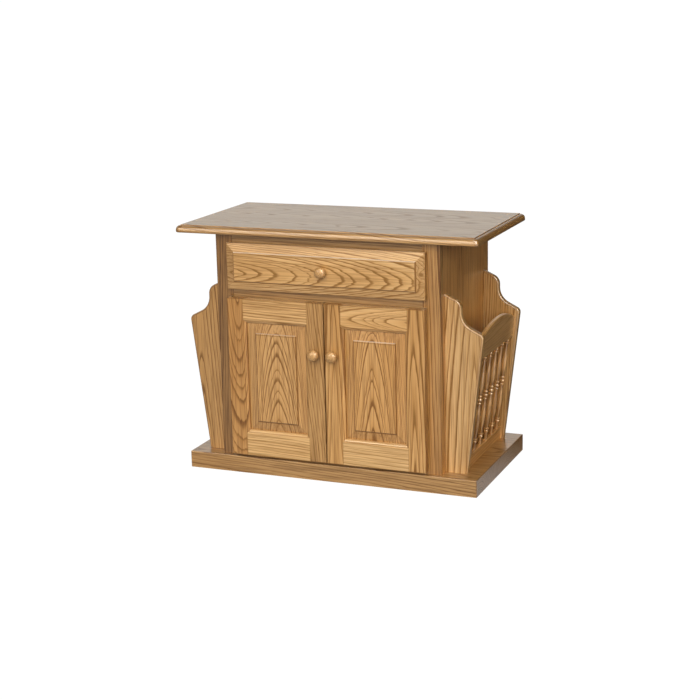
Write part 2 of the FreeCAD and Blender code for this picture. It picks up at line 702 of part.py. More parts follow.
def swapped(corners):
    """The same outline with its two directions changed over, which turns every arc the other way."""
    flipped = []
    for x, y, *arc in corners:
        flipped.append((y, x, arc[0], -arc[1]) if arc else (y, x))
    return flipped


def door_section(outer, inner, side):
    """Section of a door's stile or rail between its plain outer edge and its moulded inner edge."""
    return [(outer, "skin_front")] + moulded_edge(inner, side) + [(outer, "skin_back")]


def door_stiles():
    height = ("door_low", "door_high")
    inner = Piece("right_door_inner_stile").move(z=middle(height))
    inner.pad("XY", [door_section("meet", "pane_left", 1)], height)
    outer = Piece("right_door_outer_stile").move(z=middle(height))
    outer.pad("XY", [door_section("skin_half", "pane_right", -1)], height)
    front = measure("skin_front")
    for piece, edge in ((inner, "meet"), (outer, "skin_half")):
        side = measure(edge)
        piece.ease("front_ease", lambda e, side=side: lies_at(e, "x", side) and lies_at(e, "y", front))
    inner.cut("XZ", [("circle", "knob_x", "knob_z", "screw_radius + joint_gap")],
              ("skin_front - overrun", "skin_back + overrun"))
    bore = [("circle", "pivot_x", "pivot_y", "bush_radius + joint_gap")]
    outer.cut("XY", bore, ("door_high - bush_length - joint_gap", "door_high + overrun"))
    outer.cut("XY", bore, ("door_low - overrun", "door_low + bush_length + joint_gap"))
    both(inner)
    both(outer)


def door_rails():
    length = ("pane_left - stick_round", "pane_right + stick_round")
    for name, outer, inner, side in (("top", "door_high", "pane_high", -1),
                                     ("bottom", "door_low", "pane_low", 1)):
        rail = Piece("right_door_%s_rail" % name).move(x=middle(length))
        rail.pad("YZ", [swapped(door_section(outer, inner, side))], length)
        rail.cut("XY", coped_end("pane_left", 1) + coped_end("pane_right", -1),
                 ("door_low - overrun", "door_high + overrun"))
        both(rail)


def bevel_air(edge, opening, field, side, face, thin):
    """Air in front of one bevelled margin of a raised field."""
    past = "%s - %d*overrun" % (edge, side)
    foot = "%s - %d*panel_slope" % (field, side)
    return [(past, face + " - overrun"), (field, face + " - overrun"), (field, face),
            (foot, face + " + panel_step"), (opening, thin), (past, thin)]


def raise_field(piece, x, z, opening, bevel, face, thin):
    """Bevel the four margins of a board so that its middle stands proud."""
    for plane, span, other, hole in (("XY", x, z, opening[0]), ("YZ", z, x, opening[1])):
        loops = [bevel_air(span[0], hole[0], "%s + %s" % (hole[0], bevel), 1, face, thin),
                 bevel_air(span[1], hole[1], "%s - %s" % (hole[1], bevel), -1, face, thin)]
        if plane == "YZ":
            loops = [swapped(loop) for loop in loops]
        piece.cut(plane, loops, grown(other, "overrun"))
    front = measure(face)
    return piece.ease("panel_arris", lambda edge: lies_at(edge, "y", front))


def door_panels():
    reach = "(groove_depth - panel_gap)"
    x = ("pane_left - " + reach, "pane_right + " + reach)
    z = ("pane_low - groove_depth + joint_gap", "pane_high + " + reach)
    face = "skin_front + panel_drop"
    panel = board("right_door_panel", x, (face, "groove_rear - joint_gap"), z)
    opening = (("pane_left", "pane_right"), ("pane_low", "pane_high"))
    both(raise_field(panel, x, z, opening, "panel_bevel", face, "groove_front + joint_gap"))


def knob(label, x, z):
    """Turned mushroom knob on a front, its crown towards -Y."""
    piece = Piece(label).move(x=x, y="skin_front", z=z).tip_over(FreeCAD.Vector(1, 0, 0), 90)
    piece.turn([("0", "0"), ("knob_foot/2", "0"), ("knob_foot/2", "knob_foot_height", "knob_cove", RIGHT),
                ("knob_neck/2", "knob_neck_height", "knob_belly", LEFT),
                ("knob_width/2", "knob_edge", "crown_round", LEFT), ("0", "knob_length")])
    bore = ("circle", "0", "0", "screw_radius + joint_gap")
    return piece.cut("XY", [bore], ("-overrun", "screw_bite + joint_gap"))


def rear_screw(label, x, z, span):
    """Round-headed screw that comes from behind."""
    screw = Piece(label).move(x=x, z=z)
    screw.pad("XZ", [("circle", x, z, "screw_radius")], span)
    return screw.pad("XZ", [("circle", x, z, "screw_head")], (span[1], span[1] + " + screw_head_height"))


def door_hardware():
    both(knob("right_door_knob", "knob_x", "knob_z"))
    both(rear_screw("right_door_knob_screw", "knob_x", "knob_z", ("skin_front - screw_bite", "skin_back")))
    bushes = []
    for name, span in (("upper", ("door_high - bush_length", "door_high")),
                       ("lower", ("door_low", "door_low + bush_length"))):
        bush = Piece(name + "_bush").move(x="pivot_x", y="pivot_y", z=middle(span))
        rings = [("circle", "pivot_x", "pivot_y", radius)
                 for radius in ("bush_radius", "pin_radius + pin_fit")]
        bushes.append(bush.pad("XY", rings, span).body)
    both(group("right_door_bushes", bushes))
    level = "mid_rail_low - catch_height/2"
    both(board("right_door_strike", ("meet + strike_in", "meet + strike_in + strike_width"),
               ("skin_back", "skin_back + strike_thick"), grown((level, level), "strike_height/2")))
    keep(board("door_catch", ("-catch_width/2", "catch_width/2"),
               ("catch_front", "catch_front + catch_depth"), ("mid_rail_low - catch_height", "mid_rail_low")))


# Drawer.
FRONT_SCREWS = ("box_half - front_screw_in", "-box_half + front_screw_in")


def drawer_front():
    x, z = ("-skin_half", "skin_half"), ("drawer_low", "drawer_high")
    front = board("drawer_front", x, ("skin_front", "skin_back"), z)
    raise_field(front, x, z, (x, z), "drawer_bevel", "skin_front", "skin_back - drawer_edge")
    front.cut("XZ", [("circle", "0", "drawer_mid", "screw_radius + joint_gap")],
              ("skin_front - overrun", "skin_back + overrun"))
    front.cut("XZ", [("circle", spot, "drawer_mid", "screw_radius + joint_gap") for spot in FRONT_SCREWS],
              ("skin_back - screw_bite - joint_gap", "skin_back + overrun"))
    keep(front)


def drawer_box():
    height, length = ("box_low", "box_high"), ("skin_back", "box_back")
    wall_in = "(box_half - drawer_wall)"
    housed = ("-%s - drawer_dado" % wall_in, "%s + drawer_dado" % wall_in)
    front = ("skin_back", "skin_back + drawer_wall")
    back = ("box_back - 2*drawer_wall", "box_back - drawer_wall")
    floor = (front[1] + " - drawer_groove", back[0] + " + drawer_groove")
    sheet = ("box_bottom", "box_bottom + drawer_bottom_thick")
    slot = grown(sheet, "joint_gap")
    side = board("drawer_right_side", (wall_in, "box_half"), length, height)
    dados = [box((wall_in + " - overrun", wall_in + " + drawer_dado + joint_gap"), grown(span, "joint_gap"))
             for span in (front, back)]
    side.cut("XY", dados, grown(height, "overrun"))
    side.cut("YZ", [box(floor, slot)], (wall_in + " - overrun", wall_in + " + drawer_groove"))
    both(side)
    box_front = board("drawer_box_front", housed, front, height)
    box_front.cut("YZ", [box((floor[0], front[1] + " + overrun"), slot)], grown(housed, "overrun"))
    holes = [("circle", x, "drawer_mid", "screw_radius + joint_gap") for x in (*FRONT_SCREWS, "0")]
    box_front.cut("XZ", holes, grown(front, "overrun"))
    keep(box_front)
    box_back = board("drawer_back", housed, back, height)
    keep(box_back.cut("YZ", [box((back[0] + " - overrun", floor[1]), slot)], grown(housed, "overrun")))
    across = grown(("-" + wall_in, wall_in), "(drawer_groove - joint_gap)")
    keep(board("drawer_bottom", across, grown(floor, "(-joint_gap)"), sheet))


def drawer_hardware():
    keep(knob("drawer_knob", "0", "drawer_mid"))
    behind = "skin_back + drawer_wall"
    keep(rear_screw("drawer_knob_screw", "0", "drawer_mid", ("skin_front - screw_bite", behind)))
    screws = []
    for number, x in enumerate(FRONT_SCREWS, start=1):
        screw = rear_screw("front_screw_%d" % number, x, "drawer_mid", ("skin_back - screw_bite", behind))
        screws.append(screw.body)
    keep(group("drawer_front_screws", screws))
    spot = ("open_half + overlay/2", "drawer_low + overlay/2")
    bumper = Piece("drawer_bumper").move(x=spot[0], z=spot[1])
    pairs("drawer_bumpers", [bumper.pad("XZ", [("circle", *spot, "bumper_radius")],
                                        ("skin_back", "skin_back + bumper_thick"))])


def drawer_ways():
    """Runner with its side guide, and the kicker above the drawer side."""
    length = ("frame_back", "back_front")
    under, ledge = "box_half - runner_under", "mid_rail_top - board_thick"
    guide = "mid_rail_top + runner_guide"
    runner = Piece("drawer_right_runner").move(y=middle(length))
    both(runner.pad("XZ", [[(under, ledge), ("side_in", ledge), ("side_in", guide), ("guide_in", guide),
                            ("guide_in", "mid_rail_top"), (under, "mid_rail_top")]], length))
    both(board("drawer_right_kicker", ("side_in - kicker_width", "side_in"), length,
               ("top_rail_low", "stretcher_low")))


# Racks, drawn on the right and mirrored. Rails and spindles lean with the end panels' outer edge.
RAIL_MID = "-rail_thick/2"
RAIL_CORE = ("-(rail_thick + tenon_thick)/2", "-(rail_thick - tenon_thick)/2")
LOW_TENON = ("tenon_shoulder", "low_rail - tenon_shoulder")
HIGH_TENON = ("high_rail_start + tenon_shoulder", "arch_end - tenon_shoulder")


def lean(x, z):
    """A place in the leaning frame of the rails, seen in the table's own frame."""
    return ("rail_x + (%s)*cos(lean_angle) + (%s)*sin(lean_angle)" % (x, z),
            "base_thick - (%s)*sin(lean_angle) + (%s)*cos(lean_angle)" % (x, z))


def leaning(label, x, y, z):
    """Piece whose own frame starts at a place of the leaning frame and leans with it."""
    across, up = lean(x, z)
    piece = Piece(label).move(x=across, y=y, z=up).tip_over(FreeCAD.Vector(0, 1, 0), measure("lean_angle"))
    piece.body.setExpression("Placement.Rotation.Angle", cells("lean_angle"))
    return piece


def rack_outline():
    """End panel: foot, leaning edge, lip, shelf, hollow, neck and shoulder."""
    spots = [("0", "0"), ("foot_out", "0"), ("lip_end_out", "lip_end_low", "lip_round", LEFT),
             ("shelf_out", "shelf_low"), ("hollow_out", "hollow_low", "hollow_round", RIGHT),
             ("neck_out", "neck_low"), ("neck_out", "neck_high", "shoulder_round", LEFT),
             ("shoulder_out", "shoulder_high"), ("0", "rack_height")]
    return [("cab_half + " + spot[0], "base_thick + " + spot[1], *spot[2:]) for spot in spots]


def rack_ends():
    depth = "(rail_tenon + joint_gap)"
    front, back = ("rack_front", "rack_front + rack_thick"), ("rack_back - rack_thick", "rack_back")
    sockets = {"front": ("%s - %s" % (front[1], depth), front[1] + " + overrun"),
               "rear": (back[0] + " - overrun", "%s + %s" % (back[0], depth))}
    mortises = [[lean(*spot) for spot in box(grown(RAIL_CORE, "joint_gap"), grown(tenon, "joint_gap"))]
                for tenon in (LOW_TENON, HIGH_TENON)]
    low, side, flat = measure("base_thick"), measure("cab_half"), measure("rack_thick/2")

    def free(edge):
        on_face = lies_at(edge, "y", flat) or lies_at(edge, "y", -flat)
        return on_face and not lies_at(edge, "z", low) and not lies_at(edge, "x", side)

    for name, span in (("front", front), ("rear", back)):
        panel = Piece("right_rack_%s_end" % name).move(y=middle(span)).pad("XZ", [rack_outline()], span)
        both(panel.ease("rack_ease", free).cut("XZ", mortises, sockets[name]))


def spindle_places():
    count = round(measure("spindle_count"))
    return ["(%d - (spindle_count - 1)/2)*spindle_pitch" % number for number in range(count)]


def rack_rails():
    bores = [("circle", RAIL_MID, y, "peg_radius + joint_gap") for y in spindle_places()]
    half, longer = ("-rail_half", "rail_half"), ("-rail_half - rail_tenon", "rail_half + rail_tenon")
    low = leaning("right_rack_bottom_rail", "0", "rack_mid", "0")
    low.pad("XZ", [[("0", "0"), ("0", "low_rail"), ("-rail_thick", "low_rail"),
                    ("-rail_thick", "-rail_thick*tan(lean_angle)")]], half)
    top, width = measure("low_rail"), measure("rail_thick")
    low.ease("rail_ease", lambda edge: lies_at(edge, "z", top) and edge.Length > 2*width)
    low.pad("XZ", [box(RAIL_CORE, LOW_TENON)], longer)
    both(low.cut("XY", bores, ("low_rail - peg_length - joint_gap", "low_rail + overrun")))
    high = leaning("right_rack_top_rail", "0", "rack_mid", "0")
    high.pad("YZ", [[("-rail_half", "high_rail_start"), ("rail_half", "high_rail_start"),
                     ("rail_half", "arch_end", "arch_round", LEFT), ("-rail_half", "arch_end")]],
             ("-rail_thick", "0"))
    high.ease("arch_ease", lambda edge: edge.Curve.TypeId == "Part::GeomCircle")
    high.pad("YZ", [box(longer, HIGH_TENON)], RAIL_CORE)
    both(high.cut("XY", bores, ("high_rail_start - overrun", "high_rail_start + peg_length + joint_gap")))


def spindles():
    """Turned spindle, the same above and below its middle button: bead, ring, swelling and bead."""
    ring = "neck_radius + bead_round"
    bead = ("bead_round", LEFT)
    lower = [("neck_radius", "foot_taper", *bead), ("neck_radius", "foot_taper + bead_length"),
             ("neck_radius", "ring_low"), (ring, "ring_low"),
             (ring, "ring_high"), ("neck_radius", "ring_high"), ("neck_radius", "belly_low"),
             ("belly_radius", "belly_mid - belly_straight/2"),
             ("belly_radius", "belly_mid + belly_straight/2"),
             ("neck_radius", "cluster_low", *bead), ("neck_radius", "cluster_low + bead_length"),
             ("neck_radius", "button_low", "button_round", LEFT)]
    upper = []
    for below, spot in zip(lower[-2::-1] + [("",)], lower[::-1]):
        upper.append((spot[0], "2*spindle_mid - (%s)" % spot[1], *below[2:]))
    foot = [("0", "-peg_length"), ("peg_radius", "-peg_length"), ("peg_radius", "0")]
    tip = [("peg_radius", "spindle_length"), ("peg_radius", "spindle_length + peg_length"),
           ("0", "spindle_length + peg_length")]
    piece = leaning("right_rack_spindles", RAIL_MID, "rack_mid + " + spindle_places()[0], "low_rail")
    piece.turn(foot + lower + upper + tip)
    both(piece.row("spindle_count", "spindle_pitch"))


def build():
    for make in (base_board, table_top, carcass, top_screws, face_frame, hinges, door_stiles, door_rails,
                 door_panels, door_hardware, drawer_front, drawer_box, drawer_hardware, drawer_ways,
                 rack_ends, rack_rails, spindles):
        make()
    doc.recompute()


def check():
    """Stop on any failed feature or unsound solid."""
    failed = [thing.Name for thing in doc.Objects if {"Invalid", "Error"} & set(thing.State)]
    unsound = [node.Label for node in NODES if node.Shape.isNull() or not node.Shape.isValid()]
    if failed or unsound:
        raise RuntimeError("failed: %s unsound: %s" % (failed, unsound))


def export():
    os.makedirs("parts", exist_ok=True)
    for node in NODES:
        node.Shape.exportStep("parts/%s.step" % node.Label)


build()
check()
export()
print(len(NODES), "nodes")
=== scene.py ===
"""Oak magazine table: the finish of its boards, its turned spindles and a plain studio round the frame."""

import math
from typing import NamedTuple

import bpy
from bpy.props import FloatProperty, FloatVectorProperty, IntProperty, PointerProperty
from mathutils import Matrix, Vector


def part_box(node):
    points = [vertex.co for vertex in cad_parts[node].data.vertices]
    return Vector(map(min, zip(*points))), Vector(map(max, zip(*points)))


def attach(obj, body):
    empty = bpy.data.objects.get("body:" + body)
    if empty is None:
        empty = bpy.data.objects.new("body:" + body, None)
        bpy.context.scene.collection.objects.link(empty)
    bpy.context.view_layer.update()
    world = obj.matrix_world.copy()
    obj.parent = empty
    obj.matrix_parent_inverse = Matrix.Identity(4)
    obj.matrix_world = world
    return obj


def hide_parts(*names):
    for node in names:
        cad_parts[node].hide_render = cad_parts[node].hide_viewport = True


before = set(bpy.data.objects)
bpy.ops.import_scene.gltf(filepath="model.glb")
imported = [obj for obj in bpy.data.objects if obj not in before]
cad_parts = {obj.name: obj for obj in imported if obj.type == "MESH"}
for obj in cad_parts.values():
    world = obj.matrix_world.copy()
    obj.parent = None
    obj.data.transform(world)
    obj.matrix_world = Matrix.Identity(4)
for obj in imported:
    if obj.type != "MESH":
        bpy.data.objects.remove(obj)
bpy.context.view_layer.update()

bl_info = {
    "name": "Magazine Table",
    "version": (1, 0, 0),
    "blender": (4, 5, 0),
    "location": "View3D > Sidebar > Magazine Table",
    "description": "Finishes an oak magazine table and sets it in a plain studio",
    "category": "Object",
}

MM = 0.001
AXES = {"X": Vector((1, 0, 0)), "Y": Vector((0, 1, 0)), "Z": Vector((0, 0, 1))}
WHITE = (1.0, 1.0, 1.0, 1.0)


class Sawn(NamedTuple):
    """How a piece was sawn from the tree and finished. Lengths are in millimetres."""
    # Axes along the grain and through the thickness.
    grain: str
    thick: str
    # The heart of the tree beside the board's middle and behind it, and the width of a year's ring.
    beside: float = 60
    behind: float = 45
    ring: float = 6.0
    # Taper of the rings and tilt of the heart along the grain, whose signs point the arches.
    taper: float = 0.02
    tilt: float = 0.0
    # Width of the planks of a glued-up board; 0 is a single board.
    plank: float = 0
    # Strength of the grain lines, depth of colour and shade of the stained board; on some boards that shade is
    # partly painted shade.
    contrast: float = 1.0
    depth: float = 1.0
    shade: float = 1.0
    # How far out the arches straighten; 0 leaves them round.
    bow: float = 0
    # A knot's place across and along the board, and its radius; radius 0 is no knot.
    knot: tuple = (0, 0, 0)
    # Stain on end grain, a strong share of it partly painted shade, and on eased arrises; painted shade on
    # sloped faces, long side faces and the flat of a board.
    slope: float = 0.0
    end: float = 0.4
    edge: float = 0.0
    arris: float = 0.6
    flat_shade: float = 0.0
    # Distance of a raised field's rim from the board's edge, 0 on a plain board, and the strength of a painted
    # highlight along its upper side.
    rim: float = 0
    highlight_share: float = 0.55
    # Fullness of a moulded edge below its round.
    swell: float = 0
    # Radius below which turned grooves are stained darker.
    groove: float = 0
    # How much thicker the lacquer is; below 1 it is duller too.
    gloss: float = 1.0


# Finish that all stiles of the doors share; their long side faces get painted shade.
DOOR_STILE = {"gloss": 0.3, "arris": 0.0, "edge": 0.7}
STAINED = {
    # The top's flat faces are darkened as painted shade.
    "table_top": Sawn("X", "Z", 12, 55, 6.0, 0.02, 0.05, plank=103, shade=0.72, flat_shade=0.4, swell=1.2),
    "base_board": Sawn("X", "Z", 45, 40, 6.0, 0.02, 0.03, plank=136, shade=0.66),
    "cabinet_left_side": Sawn("Z", "X", 60, 30, 4.6, 0.01, 0.02, plank=95, contrast=1.5, depth=1.1),
    "cabinet_right_side": Sawn("Z", "X", 60, 30, 4.6, 0.01, 0.02, plank=95, contrast=1.5, depth=1.1),
    "front_stretcher": Sawn("X", "Z"),
    "rear_stretcher": Sawn("X", "Z"),
    "cabinet_floor": Sawn("X", "Z", 20, 50, plank=95),
    "frame_left_stile": Sawn("Z", "Y", 60, 40, 6.5, 0.03, contrast=1.2, shade=0.47, depth=1.19),
    "frame_right_stile": Sawn("Z", "Y", -60, 40, 6.5, 0.03, contrast=1.5, shade=0.72, depth=1.08),
    # The top and middle rails are darker partly as painted shade, under the table top and under the drawer
    # front.
    "frame_top_rail": Sawn("X", "Y", contrast=0.8, shade=0.52),
    "frame_mid_rail": Sawn("X", "Y", contrast=0.8, shade=0.50),
    "frame_bottom_rail": Sawn("X", "Y", contrast=0.8, shade=0.62),
    # The drawer front's end grain is darkened in full, partly as painted shade on its ends, and its bevels get
    # painted shade.
    "drawer_front": Sawn("X", "Y", 14, 62, 5.6, 0.0, 0.13, contrast=1.7, depth=0.86, rim=23, slope=4.5,
                         end=1.0, knot=(-5, 252, 8)),
    "left_door_outer_stile": Sawn("Z", "Y", 4, 40, 6.5, -0.03, -0.13, shade=0.77, depth=1.16, **DOOR_STILE),
    "left_door_inner_stile": Sawn("Z", "Y", -60, 40, 7.0, 0.09, shade=0.72, **DOOR_STILE),
    "left_door_top_rail": Sawn("X", "Y", 50, 40, 5.5, 0.02, contrast=1.1, depth=0.88),
    "left_door_bottom_rail": Sawn("X", "Y", -50, 40, 6.0, -0.03, contrast=1.1, depth=0.80, shade=0.94,
                                  gloss=0.4),
    "left_door_panel": Sawn("Z", "Y", 3, 10, 13.0, 0.40, contrast=1.1, shade=0.9, rim=35.2, bow=60, highlight_share=0.22),
    "right_door_inner_stile": Sawn("Z", "Y", 0, 13, 15.0, 0.06, contrast=1.5, shade=0.88, **DOOR_STILE),
    "right_door_top_rail": Sawn("X", "Y", 2, 20, 7.5, -0.16, contrast=1.5, depth=0.90),
    "right_door_bottom_rail": Sawn("X", "Y", 45, 40, 6.5, 0.02, depth=0.77),
    "right_door_panel": Sawn("Z", "Y", -6, 10, 14.0, 0.25, contrast=1.7, rim=35.2, bow=70, highlight_share=0.42),
    "right_door_outer_stile": Sawn("Z", "Y", 0, 14, 9.5, 0.05, contrast=1.4, shade=0.87, **DOOR_STILE),
    "right_rack_front_end": Sawn("Z", "Y", 26, 14, 15.0, 0.07, contrast=1.5, depth=0.88, shade=0.82),
    "right_rack_rear_end": Sawn("Z", "Y", 50, 30, 6.0, 0.06, contrast=1.5, depth=0.88, shade=0.74),
    "left_rack_front_end": Sawn("Z", "Y", -20, 25, 8.0, 0.07, contrast=1.6, depth=0.95, shade=0.8),
    "left_rack_rear_end": Sawn("Z", "Y", -50, 30, 6.0, 0.06, depth=0.90, shade=0.76),
    "right_rack_top_rail": Sawn("Y", "X", 45, 60, 5.0, 0.03, contrast=0.6),
    "right_rack_bottom_rail": Sawn("Y", "X", 45, 40, 5.5, contrast=0.6, depth=1.1),
    "left_rack_top_rail": Sawn("Y", "X", 45, 60, 5.0, 0.03, contrast=0.6, depth=1.05),
    "left_rack_bottom_rail": Sawn("Y", "X", 45, 40, 5.5, contrast=0.6, depth=1.1),
}
UNSTAINED = {
    "drawer_left_side": Sawn("Y", "X"),
    "drawer_right_side": Sawn("Y", "X"),
    "drawer_box_front": Sawn("X", "Y"),
    "drawer_back": Sawn("X", "Y"),
    "drawer_left_runner": Sawn("Y", "X"),
    "drawer_right_runner": Sawn("Y", "X"),
    "drawer_left_kicker": Sawn("Y", "X"),
    "drawer_right_kicker": Sawn("Y", "X"),
    "back_panel": Sawn("Z", "Y", 30, 120, 16.0, 0.3, contrast=0.8, bow=150),
    "drawer_bottom": Sawn("Y", "Z", 30, 300, 9.0, 0.05, 0.3),
}
KNOBS = ("drawer_knob", "left_door_knob", "right_door_knob")
TURNED_KNOB = Sawn("Y", "X", 12, 18, 4.0, 0.05, contrast=0.4, shade=0.82, gloss=0.65)
STEEL = ("hinge_brackets", "hinge_pins", "hinge_screws", "top_screws", "drawer_knob_screw",
         "drawer_front_screws", "left_door_knob_screw", "right_door_knob_screw", "left_door_bushes",
         "right_door_bushes", "left_door_strike", "right_door_strike")
SPINDLES = 6

# First seed of each group of pieces, and the step from one piece to the next.
STAINED_SEEDS = (1.0, 3.7)
UNSTAINED_SEEDS = (140.0, 2.9)
KNOB_SEEDS = (90.0, 2.3)
SPINDLE_SEEDS = {"left": (61.0, 1.7), "right": (81.0, 1.7)}


def colour_property(name, description, default):
    return FloatVectorProperty(name=name, description=description, subtype="COLOR", size=3, min=0, max=1,
                               default=default)


def share_property(name, description, default):
    return FloatProperty(name=name, description=description, subtype="FACTOR", min=0, max=1, default=default)


def strength_property(name, description, default):
    return FloatProperty(name=name, description=description, min=0, default=default)


def length_property(name, description, millimetres):
    return FloatProperty(name=name, description=description, unit="LENGTH", default=millimetres*MM)


def angle_property(name, description, degrees):
    return FloatProperty(name=name, description=description, subtype="ANGLE", unit="ROTATION",
                         default=math.radians(degrees))


class OakFinish(bpy.types.PropertyGroup):
    """Colours and lacquer of the oak."""
    light_wood: colour_property("Light wood", "Palest wood between two grain lines", (0.648, 0.363, 0.132))
    warm_wood: colour_property("Warm wood", "Deeper tone that drifts over a board", (0.512, 0.256, 0.074))
    grain_line: colour_property("Grain line", "Open pores at the start of each ring", (0.170, 0.063, 0.007))
    # Colour of the painted highlight along the upper rims of raised fields.
    rim_highlight: colour_property("Rubbed rim", "Upper rims of raised fields, rubbed pale", (0.88, 0.76, 0.60))
    pale_wood: colour_property("Pale wood", "Unstained wood of drawer box and back", (0.70, 0.52, 0.30))
    pale_line: colour_property("Pale grain line", "Grain of the unstained wood", (0.50, 0.33, 0.16))
    roughness: share_property("Roughness", "Roughness of the rubbed finish", 0.28)
    lacquer: share_property("Lacquer", "Strength of the lacquer's own shine", 0.30)
    lacquer_roughness: share_property("Lacquer roughness", "Roughness of the lacquer's own shine", 0.18)


class FittingFinish(bpy.types.PropertyGroup):
    """Colours of the fittings."""
    steel: colour_property("Steel", "Bronzed steel of hinges, screws and strikes", (0.30, 0.17, 0.07))
    nylon: colour_property("Nylon", "Brown nylon of the catch", (0.12, 0.07, 0.04))
    rubber: colour_property("Rubber", "Dark rubber of the bumpers", (0.05, 0.05, 0.05))


class SpindleSizes(bpy.types.PropertyGroup):
    """Sizes of the turned spindles."""
    segments: IntProperty(name="Segments", description="Faces round a spindle", min=12, max=96, default=32)
    peg: length_property("Peg", "Radius of the peg at each end", 4)
    peg_length: length_property("Peg length", "How far a peg goes into its rail", 9)
    foot_taper: length_property("Foot taper", "Length of the taper above the lower rail", 20)
    tip_taper: length_property("Tip taper", "Length of the taper below the upper rail", 3)
    neck: length_property("Neck", "Radius of the thinnest place", 3.4)
    belly: length_property("Belly", "Radius of the long swelling", 6.2)
    bead: length_property("Bead", "Radius of the beads", 5.8)
    bead_length: length_property("Bead length", "Length of a bead", 6)
    ring: length_property("Ring", "Radius of the flat rings", 6.4)
    ring_length: length_property("Ring length", "Length of a flat ring", 3)
    button: length_property("Button", "Radius of the middle bead", 6.6)
    button_length: length_property("Button length", "Length of the middle bead", 8)
    quirk: length_property("Quirk", "Length of the neck between two beads", 2.4)
    arris: length_property("Arris", "Length of a ring's eased edge", 0.5)


class StudioLook(bpy.types.PropertyGroup):
    """Camera and light of the plain studio."""
    camera_place: FloatVectorProperty(name="Camera place", description="Where the camera stands", size=3,
                                      subtype="TRANSLATION", unit="LENGTH", default=(1.4667, -3.6144, 1.2597))
    camera_pan: angle_property("Pan", "Turn of the camera from straight back", -22.34)
    camera_tilt: angle_property("Tilt", "How far the camera looks down", 13.92)
    camera_roll: angle_property("Roll", "Lean of the camera", -1.247)
    lens: FloatProperty(name="Lens", description="Focal length on a 36 mm frame", subtype="DISTANCE_CAMERA",
                        unit="CAMERA", default=79.9)
    key: strength_property("Key light", "Strength of the large light above the camera", 3.5)
    side: strength_property("Side light", "Strength of the weak light from the right", 0.8)
    rear: strength_property("Rear light", "Strength of the weak light from behind", 0.8)
    fill: strength_property("Fill", "Light that comes from all round", 0.11)
    backdrop: strength_property("Backdrop", "Brightness of the backdrop that the top mirrors", 0.96)
    room: strength_property("Room", "Brightness of the room that the front mirrors", 0.55)
    lamp: strength_property("Lamp", "Brightness of the lamps that knobs and upper edges mirror", 6.0)
    strip: strength_property("Strip", "Brightness of the strip of light that the arrises mirror", 9.0)
    floor: strength_property("Floor", "Own glow of the pale floor", 1.0)


class MagazineTable(bpy.types.PropertyGroup):
    """All settings of the table."""
    oak: PointerProperty(type=OakFinish)
    fittings: PointerProperty(type=FittingFinish)
    spindles: PointerProperty(type=SpindleSizes)
    studio: PointerProperty(type=StudioLook)


class Wiring:
    """Adds nodes to a tree and joins them."""

    def __init__(self, tree):
        self.tree = tree

    def add(self, kind, inputs=(), **settings):
        node = self.tree.nodes.new(kind)
        for name, value in settings.items():
            setattr(node, name, value)
        for socket, value in dict(inputs).items():
            self.feed(node.inputs[socket], value)
        return node

    def feed(self, socket, value):
        if isinstance(value, bpy.types.NodeSocket):
            self.tree.links.new(value, socket)
        else:
            socket.default_value = value

    def math(self, operation, *values, clamp=False):
        node = self.add("ShaderNodeMath", operation=operation, use_clamp=clamp)
        for socket, value in zip(node.inputs, values):
            self.feed(socket, value)
        return node.outputs[0]

    def times(self, first, *others):
        for other in others:
            first = self.math("MULTIPLY", first, other)
        return first

    def highest(self, first, *others):
        for other in others:
            first = self.math("MAXIMUM", first, other)
        return first

    def hypot(self, first, second):
        return self.math("SQRT", self.math("MULTIPLY_ADD", first, first, self.times(second, second)))

    def ranged(self, share, least, spread):
        """Least plus a share of the spread."""
        return self.math("MULTIPLY_ADD", share, spread, least)

    def sway(self, share, reach):
        """Swing to both sides of 0, as wide as the reach, from a share between 0 and 1."""
        return self.times(self.math("SUBTRACT", share, 0.5), reach)

    def step(self, value, low, high, start=0.0, end=1.0):
        """Smooth step from start to end while a value goes from low to high."""
        node = self.add("ShaderNodeMapRange", {"Value": value, "From Min": low, "From Max": high,
                                               "To Min": start, "To Max": end},
                        interpolation_type="SMOOTHSTEP")
        return node.outputs[0]

    def hump(self, value, low, full, fading, gone, height=1.0):
        """Smooth rise from low to full, and fall from fading to gone."""
        return self.times(self.step(value, low, full), self.step(value, fading, gone, height, 0.0))

    def vector(self, operation, *values):
        node = self.add("ShaderNodeVectorMath", operation=operation)
        for socket, value in zip(node.inputs, values):
            self.feed(socket, value)
        return node.outputs

    def dot(self, first, second):
        return self.vector("DOT_PRODUCT", first, second)["Value"]

    def parts(self, vector):
        return self.add("ShaderNodeSeparateXYZ", {"Vector": vector}).outputs

    def noise(self, place, cells, seed, detail=2.0, roughness=0.5):
        spread = self.vector("MULTIPLY", place, cells)[0]
        return self.add("ShaderNodeTexNoise", {"Vector": spread, "W": seed, "Scale": 1.0, "Detail": detail,
                                               "Roughness": roughness}, noise_dimensions="4D").outputs

    def mix(self, share, first, second):
        node = self.add("ShaderNodeMix", data_type="RGBA")
        self.feed(node.inputs["Factor"], share)
        colours = [socket for socket in node.inputs if socket.type == "RGBA"]
        self.feed(colours[0], first)
        self.feed(colours[1], second)
        return next(socket for socket in node.outputs if socket.type == "RGBA")


def opaque(colour):
    return (*colour, 1.0)


WOOD_INPUTS = {
    "Vector": ("Board", "Half", "Upward", "Knot"),
    "Float": ("Beside", "Behind", "Ring", "Taper", "Tilt", "Plank", "Bow", "Seed", "Face", "Up", "End", "Rim",
              "Slope", "Arris", "Flat Shade", "Swell", "Groove", "Highlight Share", "Contrast", "Sheen"),
    "Color": ("Light", "Warm", "Line", "Highlight"),
}
WOOD_OUTPUTS = {"Color": ("Color",), "Float": ("Roughness",), "Vector": ("Normal",)}

